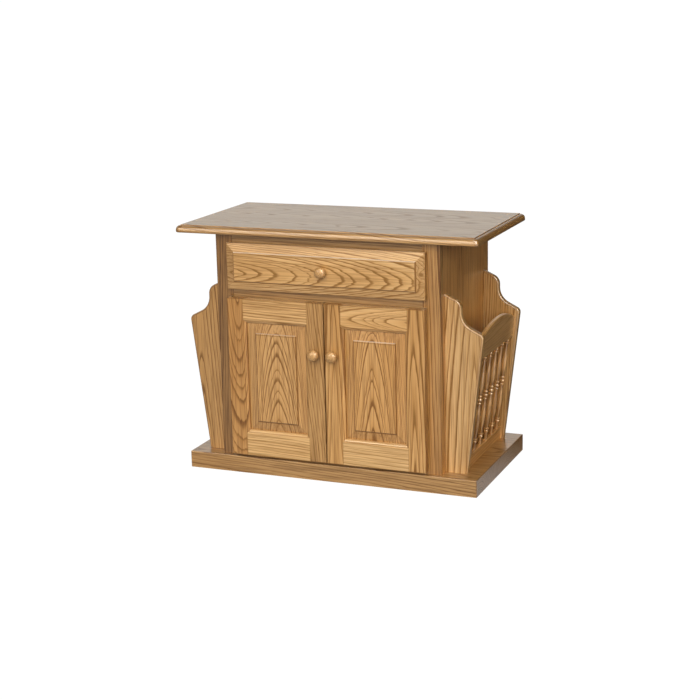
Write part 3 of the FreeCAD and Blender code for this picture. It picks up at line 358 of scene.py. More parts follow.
# Cells of noise in a metre across a board, through it and along its grain.
DRIFT_CELLS = (8.0, 8.0, 1.6)
RIPPLE_CELLS = (55.0, 55.0, 9.0)
FRAY_CELLS = (260.0, 260.0, 12.0)
STREAK_CELLS = (330.0, 330.0, 8.0)
PORE_CELLS = (800.0, 800.0, 35.0)
CLOUD_CELLS = (13.0, 13.0, 1.8)

# How far the heart wanders, and how much a ring ripples and frays.
WANDER = 22*MM
RIPPLE = 3.2*MM
FRAY = 2.6*MM

# Seed and length by which one plank differs from the next, and a size that stands for no planks and no edges.
PLANK_SEED = 3.17
PLANK_SHIFT = 230*MM
ENDLESS = 10.0
NO_EDGE = Vector((ENDLESS, ENDLESS, ENDLESS))

# A knot is longer along the grain, where lengths count for less. Its push on the rings and its core reach so
# many radii out. The least radius only guards a division.
KNOT_LENGTHS = 0.8
KNOT_PUSH, KNOT_REACH = 1.2, (0.0, 2.5)
KNOT_CORE = (0.3, 1.0)
LEAST_KNOT = 0.1*MM

# Pace and reach of good and bad years, in rings. Then the band of pores: the shares of a year at which it
# starts, is full and fades, and least and spread of its end, of its strength and of its strength by pores.
SEASON_PACE, SEASON_REACH = 0.41, 1.6
BAND_START = (0.0, 0.08, 0.12)
BAND_END = (0.24, 0.24)
BAND_STRENGTH = (0.5, 0.5)
PORE_STRENGTH = (0.65, 0.35)
PORE_EDGES = (0.40, 0.60)
PORE_DEPTH = 0.04*MM
PORE_ROUGHNESS = 0.16

# Warm tone in a year's first part and in clouds, and fine dark streaks: where each shows and how strong it is.
YEAR_FADE, YEAR_WARMTH = (0.05, 0.85), 0.5
CLOUD_EDGES, CLOUD_WARMTH, CLOUD_SEED = (0.30, 0.70), 0.6, 5.3
STREAK_EDGES, STREAK_STRENGTH = (0.42, 0.66), 0.54

# Stain and painted shade on a face's brim, by distance from its edge. Then cosines: how squarely a face looks
# out of the board where a brim, an eased arris or painted shade on the flat shows, sideways on a long side face
# with painted shade, and upwards on a rim with a painted highlight.
BRIM_WIDTH, BRIM_STRENGTH = (0.6*MM, 2.4*MM), 0.6
BRIM_FACING = (0.8, 0.95)
ARRIS_FACING = (0.86, 0.92, 0.988, 0.997)
FLAT_SHADE_FACING = (0.9, 0.98)
EDGE_FACING = (0.9, 1.0)
HIGHLIGHT_FACING = (0.5, 0.8, 0.95, 0.99)
MOST_SLOPE_SHADE = 0.3
GROOVE_FADE, GROOVE_STRENGTH = 1.5*MM, 0.6

# Stain and painted shade round a raised field: outside its rim and from its upper corners down; and a painted
# shadow just under its upper side. A board whose rim is nearer its edge than the least one is plain.
RIM_FOOT, RIM_FOOT_STRENGTH = (0.2*MM, 1.0*MM, 2.6*MM, 4.2*MM), 0.8
RIM_UNDER, RIM_UNDER_STRENGTH = (1.4*MM, 2.0*MM, 3.0*MM, 4.4*MM), 0.6
RIM_CORNER = (-0.5*MM, 2.0*MM)
LEAST_RIM = 1*MM

# Heights above a board's middle between which the swell of its moulded edge runs out.
SWELL_RUN = (-4.0*MM, 0.5*MM)


def heart_distance(wire, given):
    """Distance of a point from the heart of its tree, its place along the grain, and its plank's seed. Planks
    lie side by side, heart to the left and to the right in turn."""
    across, through, length = wire.parts(given["Board"])
    plank = wire.math("ROUND", wire.math("DIVIDE", across, given["Plank"]))
    seed = wire.ranged(plank, given["Seed"], PLANK_SEED)
    side = wire.ranged(wire.math("PINGPONG", plank, 1.0), 1.0, -2.0)
    heart = wire.ranged(plank, wire.times(given["Beside"], side), given["Plank"])
    aside = wire.math("SUBTRACT", across, heart)
    swing = wire.times(aside, given["Bow"])
    aside = wire.times(aside, wire.math("MULTIPLY_ADD", swing, swing, 1.0))
    length = wire.ranged(plank, length, PLANK_SHIFT)
    inward = wire.math("ADD", through, wire.ranged(length, given["Behind"], given["Tilt"]))
    drift_x, drift_y, _ = wire.parts(wire.noise(given["Board"], DRIFT_CELLS, seed)["Color"])
    around = wire.hypot(wire.math("ADD", aside, wire.sway(drift_x, WANDER)),
                        wire.math("ADD", inward, wire.sway(drift_y, WANDER)))
    return around, length, seed


def ring_radius(wire, given, around, length, seed):
    """Radius of the ring at a point: the heart's distance, tapered, rippled and frayed."""
    ripple = wire.noise(given["Board"], RIPPLE_CELLS, seed, detail=1.0)[0]
    fray = wire.noise(given["Board"], FRAY_CELLS, seed)[0]
    uneven = wire.math("ADD", wire.sway(ripple, RIPPLE), wire.sway(fray, FRAY))
    return wire.math("ADD", wire.ranged(length, around, given["Taper"]), uneven)


def knot_figure(wire, given):
    """How far a knot pushes the rings aside, and the strength of its dark core."""
    across, _, length = wire.parts(given["Board"])
    knot_across, knot_along, knot_radius = wire.parts(given["Knot"])
    ahead = wire.times(wire.math("SUBTRACT", length, knot_along), KNOT_LENGTHS)
    apart = wire.hypot(wire.math("SUBTRACT", across, knot_across), ahead)
    apart = wire.math("DIVIDE", apart, wire.math("MAXIMUM", knot_radius, LEAST_KNOT))
    knotted = wire.math("GREATER_THAN", knot_radius, 0.0)
    push = wire.times(wire.step(apart, *KNOT_REACH, KNOT_PUSH, 0.0), knotted, knot_radius)
    core = wire.times(wire.step(apart, *KNOT_CORE, 1.0, 0.0), knotted)
    return push, core


def year_rings(wire, given, radius, seed):
    """How far through its year a point is, and the band of open pores that each year starts with. Years differ
    in width and in strength."""
    count = wire.math("DIVIDE", radius, given["Ring"])
    weather = wire.ranged(count, seed, SEASON_PACE)
    season = wire.add("ShaderNodeTexNoise", {"W": weather, "Scale": 1.0, "Detail": 1.0},
                      noise_dimensions="1D").outputs[0]
    phase = wire.ranged(season, count, SEASON_REACH)
    year = wire.math("FRACT", phase)
    lot = wire.add("ShaderNodeTexWhiteNoise", {"W": wire.math("ADD", wire.math("FLOOR", phase), seed)},
                   noise_dimensions="1D").outputs["Value"]
    band = wire.hump(year, *BAND_START, wire.ranged(lot, *BAND_END))
    return year, wire.times(band, wire.ranged(lot, *BAND_STRENGTH))


def bare_wood(wire, given, year, dark, seed):
    """Colour of the wood: each year fades from warm to light, clouds drift over the board, and fine streaks and
    the dark bands run along the grain."""
    cloud = wire.noise(given["Board"], CLOUD_CELLS, wire.math("ADD", seed, CLOUD_SEED))[0]
    streak = wire.noise(given["Board"], STREAK_CELLS, seed, detail=3.0, roughness=0.6)[0]
    tail = wire.step(year, *YEAR_FADE, wire.times(given["Contrast"], YEAR_WARMTH), 0.0)
    drifting = wire.step(cloud, *CLOUD_EDGES, 0.0, wire.times(given["Contrast"], CLOUD_WARMTH))
    wood = wire.mix(wire.math("ADD", tail, drifting), given["Light"], given["Warm"])
    wood = wire.mix(wire.step(streak, *STREAK_EDGES, 0.0, STREAK_STRENGTH), wood, given["Line"])
    return wire.mix(dark, wood, given["Line"])


def edge_stain_and_shade(wire, given, inset, flat, plain):
    """Stain and painted shade along a face's brim; stained eased arrises of a plain board and turned grooves;
    painted shade on slopes and over the flat of a board."""
    # Stain and painted shade along the brim of a face.
    brim = wire.times(wire.step(inset, *BRIM_WIDTH, BRIM_STRENGTH, 0.0), wire.step(flat, *BRIM_FACING))
    arris = wire.times(wire.hump(flat, *ARRIS_FACING), plain, given["Arris"])
    # Painted shade on sloped faces.
    slope = wire.times(given["Slope"], wire.math("SUBTRACT", 1.0, flat))
    slope = wire.math("MINIMUM", slope, MOST_SLOPE_SHADE)
    radial = wire.vector("LENGTH", wire.vector("MULTIPLY", given["Board"], (1, 1, 0))[0])["Value"]
    groove = wire.math("DIVIDE", wire.math("SUBTRACT", given["Groove"], radial), GROOVE_FADE, clamp=True)
    # Painted shade over the flat of a board.
    flat_shade = wire.times(given["Flat Shade"], wire.step(flat, *FLAT_SHADE_FACING))
    return wire.highest(brim, wire.math("ADD", arris, slope), wire.times(groove, GROOVE_STRENGTH), flat_shade)


def rim_stain_and_shade(wire, given, inset):
    """Stain and painted shade round a raised field, beside and below its rim, and a painted shadow under the
    rim's upper side.
    """
    outside = wire.math("SUBTRACT", given["Rim"], inset)
    height = wire.dot(given["Board"], given["Upward"])
    reach = wire.math("ABSOLUTE", wire.dot(given["Half"], given["Upward"]))
    below = wire.math("SUBTRACT", wire.math("SUBTRACT", reach, height), given["Rim"])
    # Stain and painted shade at the foot of the field, and a painted shadow under its upper side.
    foot = wire.times(wire.hump(outside, *RIM_FOOT, RIM_FOOT_STRENGTH), wire.step(below, *RIM_CORNER))
    under = wire.times(wire.hump(below, *RIM_UNDER, RIM_UNDER_STRENGTH), wire.math("LESS_THAN", outside, 0.0))
    return wire.highest(foot, under)


def add_sockets(tree, way, names_by_kind):
    for kind, names in names_by_kind.items():
        for name in names:
            tree.interface.new_socket(name, in_out=way, socket_type="NodeSocket" + kind)


def sawn_wood():
    """Node group: the figure of a sawn board, from coordinates across, through and along it. Rings are cones
    round the heart of the tree; edges and rims are stained and given painted shade, and upper rims a painted
    highlight."""
    tree = bpy.data.node_groups.new("sawn_wood", "ShaderNodeTree")
    add_sockets(tree, "INPUT", WOOD_INPUTS)
    add_sockets(tree, "OUTPUT", WOOD_OUTPUTS)
    wire = Wiring(tree)
    given = wire.add("NodeGroupInput").outputs

    around, length, seed = heart_distance(wire, given)
    push, core = knot_figure(wire, given)
    radius = wire.math("ADD", ring_radius(wire, given, around, length, seed), push)
    year, band = year_rings(wire, given, radius, seed)
    pores = wire.step(wire.noise(given["Board"], PORE_CELLS, seed, detail=1.0)[0], *PORE_EDGES)
    dark = wire.times(band, wire.ranged(pores, *PORE_STRENGTH))
    dark = wire.math("MULTIPLY", dark, given["Contrast"], clamp=True)
    wood = bare_wood(wire, given, year, dark, seed)
    wood = wire.mix(wire.highest(core, given["End"]), wood, given["Line"])

    spare = wire.vector("SUBTRACT", given["Half"], wire.vector("ABSOLUTE", given["Board"])[0])[0]
    spare_across, _, spare_along = wire.parts(spare)
    inset = wire.math("MINIMUM", spare_across, spare_along)
    flat = wire.math("ABSOLUTE", given["Face"])
    plain = wire.math("LESS_THAN", given["Rim"], LEAST_RIM)
    raised = wire.times(wire.math("SUBTRACT", 1.0, plain), wire.math("LESS_THAN", given["Face"], 0.0))
    round_field = wire.times(rim_stain_and_shade(wire, given, inset), raised)
    # Stains together with painted shade.
    stain_and_shade = wire.highest(edge_stain_and_shade(wire, given, inset, flat, plain), round_field)
    wood = wire.mix(stain_and_shade, wood, given["Line"])
    # Painted highlight along the upper rim of a raised field.
    highlighted = wire.hump(given["Up"], *HIGHLIGHT_FACING, given["Highlight Share"])
    wood = wire.mix(wire.times(highlighted, raised), wood, given["Highlight"])

    through = wire.parts(given["Board"])["Y"]
    swell = wire.times(wire.step(through, *SWELL_RUN, 1.0, 0.0), given["Swell"])
    height = wire.ranged(wire.times(dark, pores), swell, -PORE_DEPTH)
    bump = wire.add("ShaderNodeBump", {"Strength": 1.0, "Distance": 1.0, "Height": height})
    rough = wire.ranged(dark, given["Sheen"], PORE_ROUGHNESS)
    wire.add("NodeGroupOutput", {"Color": wood, "Roughness": rough, "Normal": bump.outputs[0]})
    return tree


def wood_group():
    return bpy.data.node_groups.get("sawn_wood") or sawn_wood()


def board_turn(grain, thick):
    """Turns the table's frame so that Z runs along the grain and Y through the thickness."""
    along, through = AXES[grain], AXES[thick]
    return Matrix((through.cross(along), through, along))


def new_material(name):
    material = bpy.data.materials.new(name)
    material.use_nodes = True
    material.node_tree.nodes.clear()
    return material, Wiring(material.node_tree)


def surface(wire, inputs):
    shader = wire.add("ShaderNodeBsdfPrincipled", inputs)
    wire.add("ShaderNodeOutputMaterial", {"Surface": shader.outputs[0]})


def board_facing(wire, normal, sawn, turn):
    """How squarely a face looks out of a flat board, and how dark it is made: stained end grain, where a strong
    share is partly painted shade, and painted shade on a long side face.
    """
    across, through, along = turn
    end = wire.math("MINIMUM", wire.math("ABSOLUTE", wire.dot(normal, along)), sawn.end)
    # Painted shade on a long side face.
    edge = wire.step(wire.math("ABSOLUTE", wire.dot(normal, across)), *EDGE_FACING, 0.0, sawn.edge)
    return wire.dot(normal, through), wire.highest(end, edge)


# How much rougher a finish without lacquer is.
DULLING = 0.3


def wood_material(name, sawn, middle, turn, half, seed, colours):
    """Wood of one piece round its middle, turned so that Z runs along its grain. A flat board gives half its
    sizes; a turned piece gives none."""
    oak = bpy.context.scene.magazine_table.oak
    material, wire = new_material(name)
    place = wire.add("ShaderNodeTexCoord").outputs
    board = wire.add("ShaderNodeMapping", {"Vector": place["Object"], "Location": -(turn @ middle),
                                           "Rotation": turn.to_euler()}, vector_type="POINT").outputs[0]
    face, end = board_facing(wire, place["Normal"], sawn, turn) if half else (0.0, 0.0)
    light, warm, line = [opaque([sawn.shade*channel**sawn.depth for channel in colour]) for colour in colours]
    group = wire.add("ShaderNodeGroup", node_tree=wood_group())
    for socket, value in {
            "Board": board, "Half": half or NO_EDGE, "Upward": turn @ AXES["Z"], "Knot": Vector(sawn.knot)*MM,
            "Beside": sawn.beside*MM, "Behind": sawn.behind*MM, "Ring": sawn.ring*MM, "Taper": sawn.taper,
            "Tilt": sawn.tilt, "Plank": sawn.plank*MM or ENDLESS,
            "Bow": 1/(sawn.bow*MM) if sawn.bow else 0.0, "Seed": seed, "Face": face,
            "Up": wire.dot(place["Normal"], AXES["Z"]), "End": end, "Rim": sawn.rim*MM, "Slope": sawn.slope,
            "Arris": sawn.arris, "Flat Shade": sawn.flat_shade, "Swell": sawn.swell*MM, "Groove": sawn.groove*MM,
            "Highlight Share": sawn.highlight_share, "Contrast": sawn.contrast,
            "Sheen": oak.roughness + DULLING*max(1.0 - sawn.gloss, 0.0),
            "Light": light, "Warm": warm, "Line": line, "Highlight": opaque(oak.rim_highlight)}.items():
        wire.feed(group.inputs[socket], value)
    out = group.outputs
    surface(wire, {"Base Color": out["Color"], "Roughness": out["Roughness"], "Normal": out["Normal"],
                   "Coat Weight": oak.lacquer*sawn.gloss, "Coat Roughness": oak.lacquer_roughness})
    return material


def dress(piece, material):
    piece.data.materials.clear()
    piece.data.materials.append(material)


def finish_wood(node, sawn, seed, colours, turned=False):
    low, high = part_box(node)
    turn = board_turn(sawn.grain, sawn.thick)
    half = None if turned else Vector([abs(size) for size in turn @ (high - low)/2])
    wood = wood_material(node + "_wood", sawn, (low + high)/2, turn, half, seed, colours)
    dress(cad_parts[node], wood)


def oak_colours():
    oak = bpy.context.scene.magazine_table.oak
    return oak.light_wood, oak.warm_wood, oak.grain_line


def seed_of(seeds, number):
    first, step = seeds
    return first + step*number


def finish_boards(match):
    """Gives every stained board whose name passes its own oak."""
    for number, (node, sawn) in enumerate(STAINED.items()):
        if match(node):
            finish_wood(node, sawn, seed_of(STAINED_SEEDS, number), oak_colours())


class TABLE_OT_cabinet(bpy.types.Operator):
    """Finish the top, the base, the cabinet and its face frame"""
    bl_idname = "magazine_table.cabinet"
    bl_label = "Cabinet Boards"

    def execute(self, context):
        finish_boards(lambda node: "door" not in node and "rack" not in node and "drawer" not in node)
        return {"FINISHED"}


class TABLE_OT_doors(bpy.types.Operator):
    """Finish the stiles, rails and panels of both doors"""
    bl_idname = "magazine_table.doors"
    bl_label = "Doors"

    def execute(self, context):
        finish_boards(lambda node: "door" in node)
        return {"FINISHED"}


# Shade of the warm tone of unstained wood beside its pale one.
PALE_WARMTH = 0.9


class TABLE_OT_drawer(bpy.types.Operator):
    """Finish the drawer front and the unstained wood of the drawer and the back"""
    bl_idname = "magazine_table.drawer"
    bl_label = "Drawer and Plain Wood"

    def execute(self, context):
        oak = context.scene.magazine_table.oak
        finish_boards(lambda node: node == "drawer_front")
        pale = (oak.pale_wood, [PALE_WARMTH*channel for channel in oak.pale_wood], oak.pale_line)
        for number, (node, sawn) in enumerate(UNSTAINED.items()):
            finish_wood(node, sawn, seed_of(UNSTAINED_SEEDS, number), pale)
        return {"FINISHED"}


class TABLE_OT_racks(bpy.types.Operator):
    """Finish the end panels and rails of both racks"""
    bl_idname = "magazine_table.racks"
    bl_label = "Racks"

    def execute(self, context):
        finish_boards(lambda node: "rack" in node)
        return {"FINISHED"}


# Edges that turn less than this look smooth.
SMOOTH_ANGLE = math.radians(38)


def turned_piece(name, profile, segments):
    """Turned piece standing on the origin, from its foot up: a disc drawn out ring by ring."""
    bpy.ops.object.select_all(action="DESELECT")
    height, radius = profile[0]
    bpy.ops.mesh.primitive_circle_add(vertices=segments, radius=radius, fill_type="NGON",
                                      location=(0, 0, height))
    piece = bpy.context.object
    piece.name = piece.data.name = name
    bpy.ops.object.transform_apply(location=True, rotation=True, scale=True)
    bpy.ops.object.mode_set(mode="EDIT")
    bpy.ops.mesh.select_mode(type="FACE")
    bpy.ops.mesh.select_all(action="SELECT")
    for level, wide in profile[1:]:
        bpy.ops.mesh.extrude_region_move(TRANSFORM_OT_translate={"value": (0, 0, level - height)})
        widening = wide/radius
        bpy.ops.transform.resize(value=(widening, widening, 1), center_override=(0, 0, level))
        height, radius = level, wide
    bpy.ops.mesh.select_all(action="SELECT")
    bpy.ops.mesh.normals_make_consistent(inside=False)
    bpy.ops.object.mode_set(mode="OBJECT")
    bpy.ops.object.shade_smooth_by_angle(angle=SMOOTH_ANGLE)
    return piece


def pick(piece):
    """Leaves one piece alone selected and active."""
    bpy.ops.object.select_all(action="DESELECT")
    piece.select_set(True)
    bpy.context.view_layer.objects.active = piece


def copied(piece, name):
    """Copy of a piece with a mesh of its own."""
    pick(piece)
    bpy.ops.object.duplicate(linked=False)
    copy = bpy.context.object
    copy.name = copy.data.name = name
    return copy


def set_down(piece, place, turn):
    """Turns and moves a piece, and puts its place into its mesh."""
    pick(piece)
    piece.rotation_euler = turn
    piece.location = place
    bpy.ops.object.transform_apply(location=True, rotation=True, scale=True)


def bulge(low, high, inner, outer, steps=6):
    """Half-round bead between two heights."""
    middle, half = (low + high)/2, (high - low)/2
    rows = []
    for step in range(steps + 1):
        angle = math.pi*step/steps
        rows.append((middle - half*math.cos(angle), inner + (outer - inner)*math.sin(angle)))
    return rows


def vase(low, high, neck, belly, steps=16, fullest_share=0.6, slimness=1.3):
    """Long swelling between two necks, fullest at a share of its length."""
    lean = math.log(0.5)/math.log(fullest_share)
    rows = []
    for step in range(steps + 1):
        share = step/steps
        fullness = math.sin(math.pi*share**lean)**slimness
        rows.append((low + (high - low)*share, neck + (belly - neck)*fullness))
    return rows


def flat_ring(low, sizes):
    """Flat ring with eased edges, between two necks."""
    high = low + sizes.ring_length
    return [(low, sizes.neck), (low + sizes.arris, sizes.ring), (high - sizes.arris, sizes.ring),
            (high, sizes.neck)]


def spindle_profile(length, sizes):
    """One turned spindle, the same above and below its middle button: bead, ring, long swelling and bead."""
    neck = sizes.neck
    middle = (length + sizes.foot_taper - sizes.tip_taper)/2
    button_foot, button_tip = middle - sizes.button_length/2, middle + sizes.button_length/2
    ring_foot = sizes.foot_taper + sizes.bead_length + sizes.quirk
    vase_foot = ring_foot + sizes.ring_length + sizes.quirk
    vase_tip = button_foot - sizes.quirk - sizes.bead_length
    button = bulge(button_foot, button_tip, neck, sizes.button, steps=8)
    lower = bulge(sizes.foot_taper, sizes.foot_taper + sizes.bead_length, neck, sizes.bead)
    lower += flat_ring(ring_foot, sizes)
    lower += vase(vase_foot, vase_tip, neck, sizes.belly)
    lower += bulge(vase_tip, vase_tip + sizes.bead_length, neck, sizes.bead)[1:]
    lower += [(level, wide) for level, wide in button if level < middle - sizes.arris]
    upper = [(2*middle - level, wide) for level, wide in reversed(lower)]
    foot = [(-sizes.peg_length, sizes.peg), (0, sizes.peg)]
    tip = [(length, sizes.peg), (length + sizes.peg_length, sizes.peg)]
    return foot + lower + [(middle, sizes.button)] + upper + tip


def spindle_wood(number):
    """Each spindle is turned from another part of the tree."""
    return Sawn("Z", "Y", 9 + 3*number, 26 - 4*number, 4.4, 0.03, contrast=0.9, groove=5.2, gloss=3.0)


class TABLE_OT_spindles(bpy.types.Operator):
    """Turn the spindles of both racks, all from one pattern"""
    bl_idname = "magazine_table.spindles"
    bl_label = "Spindles"

    def execute(self, context):
        sizes = context.scene.magazine_table.spindles
        low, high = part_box("right_rack_spindles")
        pitch = (high.y - low.y - 2*sizes.button)/(SPINDLES - 1)
        lean = math.atan2(high.x - low.x - 2*sizes.peg, high.z - low.z)
        corner = sizes.peg*Vector((math.cos(lean), 0, math.sin(lean)))
        foot = Vector((low.x, 0, low.z)) + corner
        tip = Vector((high.x, 0, high.z)) - corner
        length = (tip - foot).length - 2*sizes.peg_length
        start = foot + (tip - foot).normalized()*sizes.peg_length
        pattern = turned_piece("spindle_pattern", spindle_profile(length, sizes), sizes.segments)
        for side, way in (("right", 1), ("left", -1)):
            turn = Matrix.Rotation(-way*lean, 3, "Y")
            for number in range(SPINDLES):
                y = (number - (SPINDLES - 1)/2)*pitch + (low.y + high.y)/2
                place = Vector((way*start.x, y, start.z))
                piece = copied(pattern, "%s_spindle_%d" % (side, number + 1))
                set_down(piece, place, (0, way*lean, 0))
                wood = wood_material(piece.name + "_wood", spindle_wood(number), place, turn, None,
                                     seed_of(SPINDLE_SEEDS[side], number), oak_colours())
                dress(piece, wood)
                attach(piece, "cabinet")
                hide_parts(side + "_rack_spindles")
        bpy.data.objects.remove(pattern)
        return {"FINISHED"}


class TABLE_OT_knobs(bpy.types.Operator):
    """Finish the three knobs"""
    bl_idname = "magazine_table.knobs"
    bl_label = "Knobs"

    def execute(self, context):
        for number, node in enumerate(KNOBS):
            finish_wood(node, TURNED_KNOB, seed_of(KNOB_SEEDS, number), oak_colours(), turned=True)
        return {"FINISHED"}


# Mottle of the fittings: where its dark places start, its change of roughness and its relief.
MOTTLE_EDGES = (0.3, 0.7)
MOTTLE_ROUGHNESS = (-0.12, 0.25)
MOTTLE_RELIEF, MOTTLE_STRENGTH = 0.1*MM, 0.15


def fitting_material(name, colour, cells, spread, roughness):
    """Steel, nylon or rubber: a mottled tone with a finely uneven surface."""
    material, wire = new_material(name)
    place = wire.add("ShaderNodeTexCoord").outputs["Object"]
    mottle = wire.noise(place, (cells, cells, cells), 0.0, detail=4.0)[0]
    dark = opaque([channel*(1.0 - spread) for channel in colour])
    tone = wire.mix(wire.step(mottle, *MOTTLE_EDGES), opaque(colour), dark)
    least, change = MOTTLE_ROUGHNESS
    rough = wire.ranged(mottle, roughness + least, change)
    bump = wire.add("ShaderNodeBump", {"Strength": MOTTLE_STRENGTH, "Distance": MOTTLE_RELIEF,
                                       "Height": mottle})
    surface(wire, {"Base Color": tone, "Roughness": rough, "Normal": bump.outputs[0]})
    return material


class TABLE_OT_fittings(bpy.types.Operator):
    """Finish the hinges, screws, strikes, catch and bumpers"""
    bl_idname = "magazine_table.fittings"
    bl_label = "Fittings"

    def execute(self, context):
        colours = context.scene.magazine_table.fittings
        steel = fitting_material("bronzed_steel", colours.steel, cells=500.0, spread=0.35, roughness=0.7)
        nylon = fitting_material("brown_nylon", colours.nylon, cells=300.0, spread=0.2, roughness=0.5)
        rubber = fitting_material("dark_rubber", colours.rubber, cells=700.0, spread=0.3, roughness=0.7)
        for node in STEEL:
            dress(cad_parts[node], steel)
        dress(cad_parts["door_catch"], nylon)
        dress(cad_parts["drawer_bumpers"], rubber)
        return {"FINISHED"}


# Degrees left of the front and above the floor from which each light comes, and how wide it is.
KEY_FROM, KEY_WIDTH = (-9, 22), 55
SIDE_FROM, SIDE_WIDTH = (-72, 12), 40
REAR_FROM, REAR_WIDTH = (165, 14), 40
LIGHT_PLACE = (0, 0, 3)


def from_front(azimuth, elevation):
    """Way of light that comes from azimuth degrees left of the front and from that elevation."""
    side, rise = math.radians(azimuth), math.radians(elevation)
    return Vector((math.sin(side)*math.cos(rise), math.cos(side)*math.cos(rise), -math.sin(rise)))


def add_sun(name, origin, width, strength):
    """Large soft light, too even to show in the lacquer."""
    turn = from_front(*origin).to_track_quat("-Z", "Y").to_euler()
    bpy.ops.object.light_add(type="SUN", location=LIGHT_PLACE, rotation=turn)
    sun = bpy.context.object
    sun.name = sun.data.name = name
    sun.data.energy = strength
    sun.data.angle = math.radians(width)
    sun.visible_glossy = False


# Directions of the lamps that the lacquer mirrors with their shares of brightness, and the cosines of their
# rim and core.
LAMPS = (((-0.36, -0.70, 0.62), 1.0), ((0.72, -0.28, 0.63), 1.7))
LAMP_RIM, LAMP_CORE = math.cos(math.radians(19)), math.cos(math.radians(11))
LACQUER_TINT = (0.985, 1.0, 0.95, 1.0)

# The rest that it mirrors, by the X, Y and Z of a direction between which each part of the studio starts or
# ends. The backdrop is dim at the right, and the room is brighter above.
BACKDROP_Z, BACKDROP_Y, BACKDROP_X = (0.0, 0.12), (0.0, 0.4), (-0.25, 0.15)
BACKDROP_RIGHT = 0.02
ROOM_Y, ROOM_Z = (-0.5, -0.1), (0.10, 0.40)
ROOM_ABOVE = 3.4
STRIP_Y, STRIP_X = (-0.60, -0.48, -0.20, -0.05), (-0.15, 0.05)


def mirrored_studio(wire, look):
    """Brightness that the lacquer mirrors from each direction: the backdrop behind, the room in front, the
    lamps and a strip of light at the right."""
    towards = wire.add("ShaderNodeTexCoord").outputs["Generated"]
    x, y, z = wire.parts(towards)
    backdrop = wire.times(wire.step(z, *BACKDROP_Z, 0.0, look.backdrop), wire.step(y, *BACKDROP_Y),
                          wire.step(x, *BACKDROP_X, 1.0, BACKDROP_RIGHT))
    room = wire.times(wire.step(y, *ROOM_Y, look.room, 0.0), wire.step(z, *ROOM_Z, 1.0, ROOM_ABOVE))
    mirrored = wire.math("ADD", backdrop, room)
    for direction, share in LAMPS:
        near = wire.dot(towards, Vector(direction).normalized())
        lamp = wire.step(near, LAMP_RIM, LAMP_CORE, 0.0, share*look.lamp)
        mirrored = wire.math("ADD", mirrored, lamp)
    strip = wire.times(wire.hump(y, *STRIP_Y, look.strip), wire.step(x, *STRIP_X))
    return wire.math("ADD", mirrored, strip)


def light_world(look):
    """The camera sees white, wood gets a dim fill, and lacquer mirrors the studio."""
    world = bpy.data.worlds.new("studio")
    bpy.context.scene.world = world
    world.use_nodes = True
    world.node_tree.nodes.clear()
    wire = Wiring(world.node_tree)
    ray = wire.add("ShaderNodeLightPath").outputs
    more = wire.math("SUBTRACT", mirrored_studio(wire, look), look.fill)
    given = wire.ranged(ray["Is Glossy Ray"], look.fill, more)
    seen = wire.ranged(ray["Is Camera Ray"], given, wire.math("SUBTRACT", 1.0, given))
    tone = wire.mix(ray["Is Glossy Ray"], WHITE, LACQUER_TINT)
    glow = wire.add("ShaderNodeBackground", {"Color": tone, "Strength": seen})
    wire.add("ShaderNodeOutputWorld", {"Surface": glow.outputs[0]})


# Places on the floor, in metres, between which the lacquer mirrors a strip of light and where it turns dim.
FLOOR_SIZE = 400
FLOOR_CELLS = (3.0, 3.0, 3.0)
FLOOR_TONES = ((0.05, 0.05, 0.05, 1.0), (0.045, 0.045, 0.045, 1.0))
FLOOR_ROUGHNESS = 0.9
FLOOR_STRIP_X, FLOOR_STRIP_Y = (0.6, 0.9, 3.0, 4.0), (-2.0, -1.5, -0.5, -0.3)
FLOOR_STRIP_SHARE = 0.2
FLOOR_DIM_Y = (-0.15, 0.35)


def floor_material(look):
    """Pale floor: white to the camera; the lacquer mirrors it bright in front of the table, with a strip at the
    right, and dim behind."""
    material, wire = new_material("pale_floor")
    place = wire.add("ShaderNodeTexCoord").outputs["Object"]
    tone = wire.mix(wire.noise(place, FLOOR_CELLS, 0.0)[0], *FLOOR_TONES)
    x, y, _ = wire.parts(place)
    strip = wire.times(wire.hump(x, *FLOOR_STRIP_X, FLOOR_STRIP_SHARE*look.strip),
                       wire.hump(y, *FLOOR_STRIP_Y))
    mirrored = wire.math("ADD", strip, wire.step(y, *FLOOR_DIM_Y, look.room, 0.0))
    seen = wire.add("ShaderNodeLightPath").outputs["Is Camera Ray"]
    glow = wire.ranged(seen, mirrored, wire.math("SUBTRACT", look.floor, mirrored))
    surface(wire, {"Base Color": tone, "Roughness": FLOOR_ROUGHNESS, "Specular IOR Level": 0.0,
                   "Emission Color": WHITE, "Emission Strength": glow})
    return material


# Width of the camera's frame in millimetres, and how far it sees in metres.
FRAME_WIDTH = 36.0
SIGHT = 500.0


def camera_axes(look):
    """Right, up and forward of the camera."""
    pan, tilt, roll = look.camera_pan, look.camera_tilt, look.camera_roll
    forward = Vector((math.sin(pan)*math.cos(tilt), math.cos(pan)*math.cos(tilt), -math.sin(tilt)))
    right = Vector((math.cos(pan), -math.sin(pan), 0))
    up = right.cross(forward)
    return (math.cos(roll)*right + math.sin(roll)*up, math.cos(roll)*up - math.sin(roll)*right, forward)


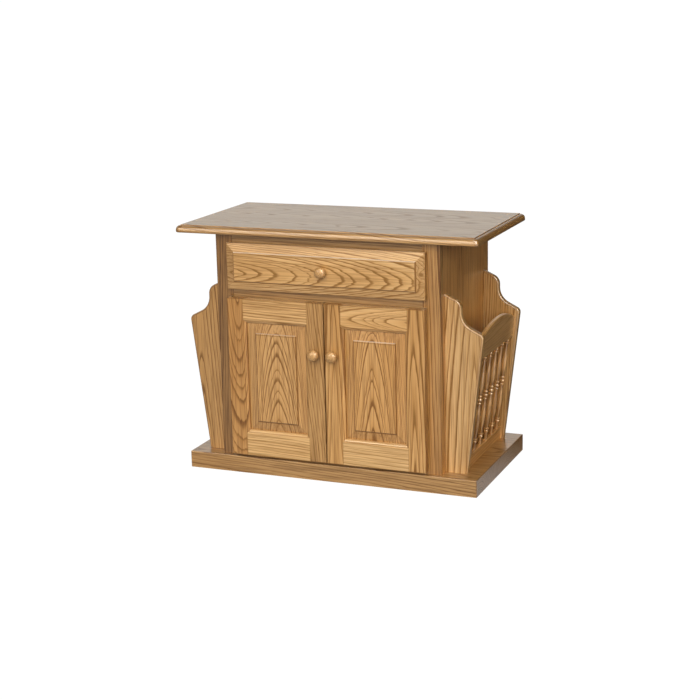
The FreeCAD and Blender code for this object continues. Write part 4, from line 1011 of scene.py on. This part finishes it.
def add_camera(look):
    right, up, forward = camera_axes(look)
    bpy.ops.object.camera_add(location=look.camera_place)
    camera = bpy.context.object
    camera.name = camera.data.name = "photo_camera"
    camera.rotation_euler = Matrix((right, up, -forward)).transposed().to_euler()
    camera.data.lens = look.lens
    camera.data.sensor_width = FRAME_WIDTH
    camera.data.clip_end = SIGHT
    bpy.context.scene.camera = camera


class TABLE_OT_stage(bpy.types.Operator):
    """Set the pale floor, the lights and the camera"""
    bl_idname = "magazine_table.stage"
    bl_label = "Studio"

    def execute(self, context):
        look = context.scene.magazine_table.studio
        bpy.ops.object.select_all(action="DESELECT")
        bpy.ops.mesh.primitive_plane_add(size=FLOOR_SIZE, location=(0, 0, 0))
        floor = context.object
        floor.name = "floor"
        dress(floor, floor_material(look))
        floor.visible_diffuse = False
        add_sun("key_light", KEY_FROM, KEY_WIDTH, look.key)
        add_sun("side_light", SIDE_FROM, SIDE_WIDTH, look.side)
        add_sun("rear_light", REAR_FROM, REAR_WIDTH, look.rear)
        light_world(look)
        add_camera(look)
        context.scene.view_settings.view_transform = "Standard"
        return {"FINISHED"}


class TABLE_PT_sidebar(bpy.types.Panel):
    """Steps of the table, in the order they are done"""
    bl_idname = "TABLE_PT_sidebar"
    bl_label = "Magazine Table"
    bl_space_type = "VIEW_3D"
    bl_region_type = "UI"
    bl_category = "Magazine Table"

    def draw(self, context):
        for step in STEPS:
            self.layout.operator(step.bl_idname)


STEPS = (TABLE_OT_cabinet, TABLE_OT_doors, TABLE_OT_drawer, TABLE_OT_racks, TABLE_OT_spindles, TABLE_OT_knobs,
         TABLE_OT_fittings, TABLE_OT_stage)
CLASSES = (OakFinish, FittingFinish, SpindleSizes, StudioLook, MagazineTable, *STEPS, TABLE_PT_sidebar)


def register():
    for kind in CLASSES:
        bpy.utils.register_class(kind)
    bpy.types.Scene.magazine_table = PointerProperty(type=MagazineTable)


def unregister():
    del bpy.types.Scene.magazine_table
    for kind in reversed(CLASSES):
        bpy.utils.unregister_class(kind)


def main():
    register()
    bpy.ops.magazine_table.cabinet()
    bpy.ops.magazine_table.doors()
    bpy.ops.magazine_table.drawer()
    bpy.ops.magazine_table.racks()
    bpy.ops.magazine_table.spindles()
    bpy.ops.magazine_table.knobs()
    bpy.ops.magazine_table.fittings()
    bpy.ops.magazine_table.stage()


if __name__ == "__main__":
    main()
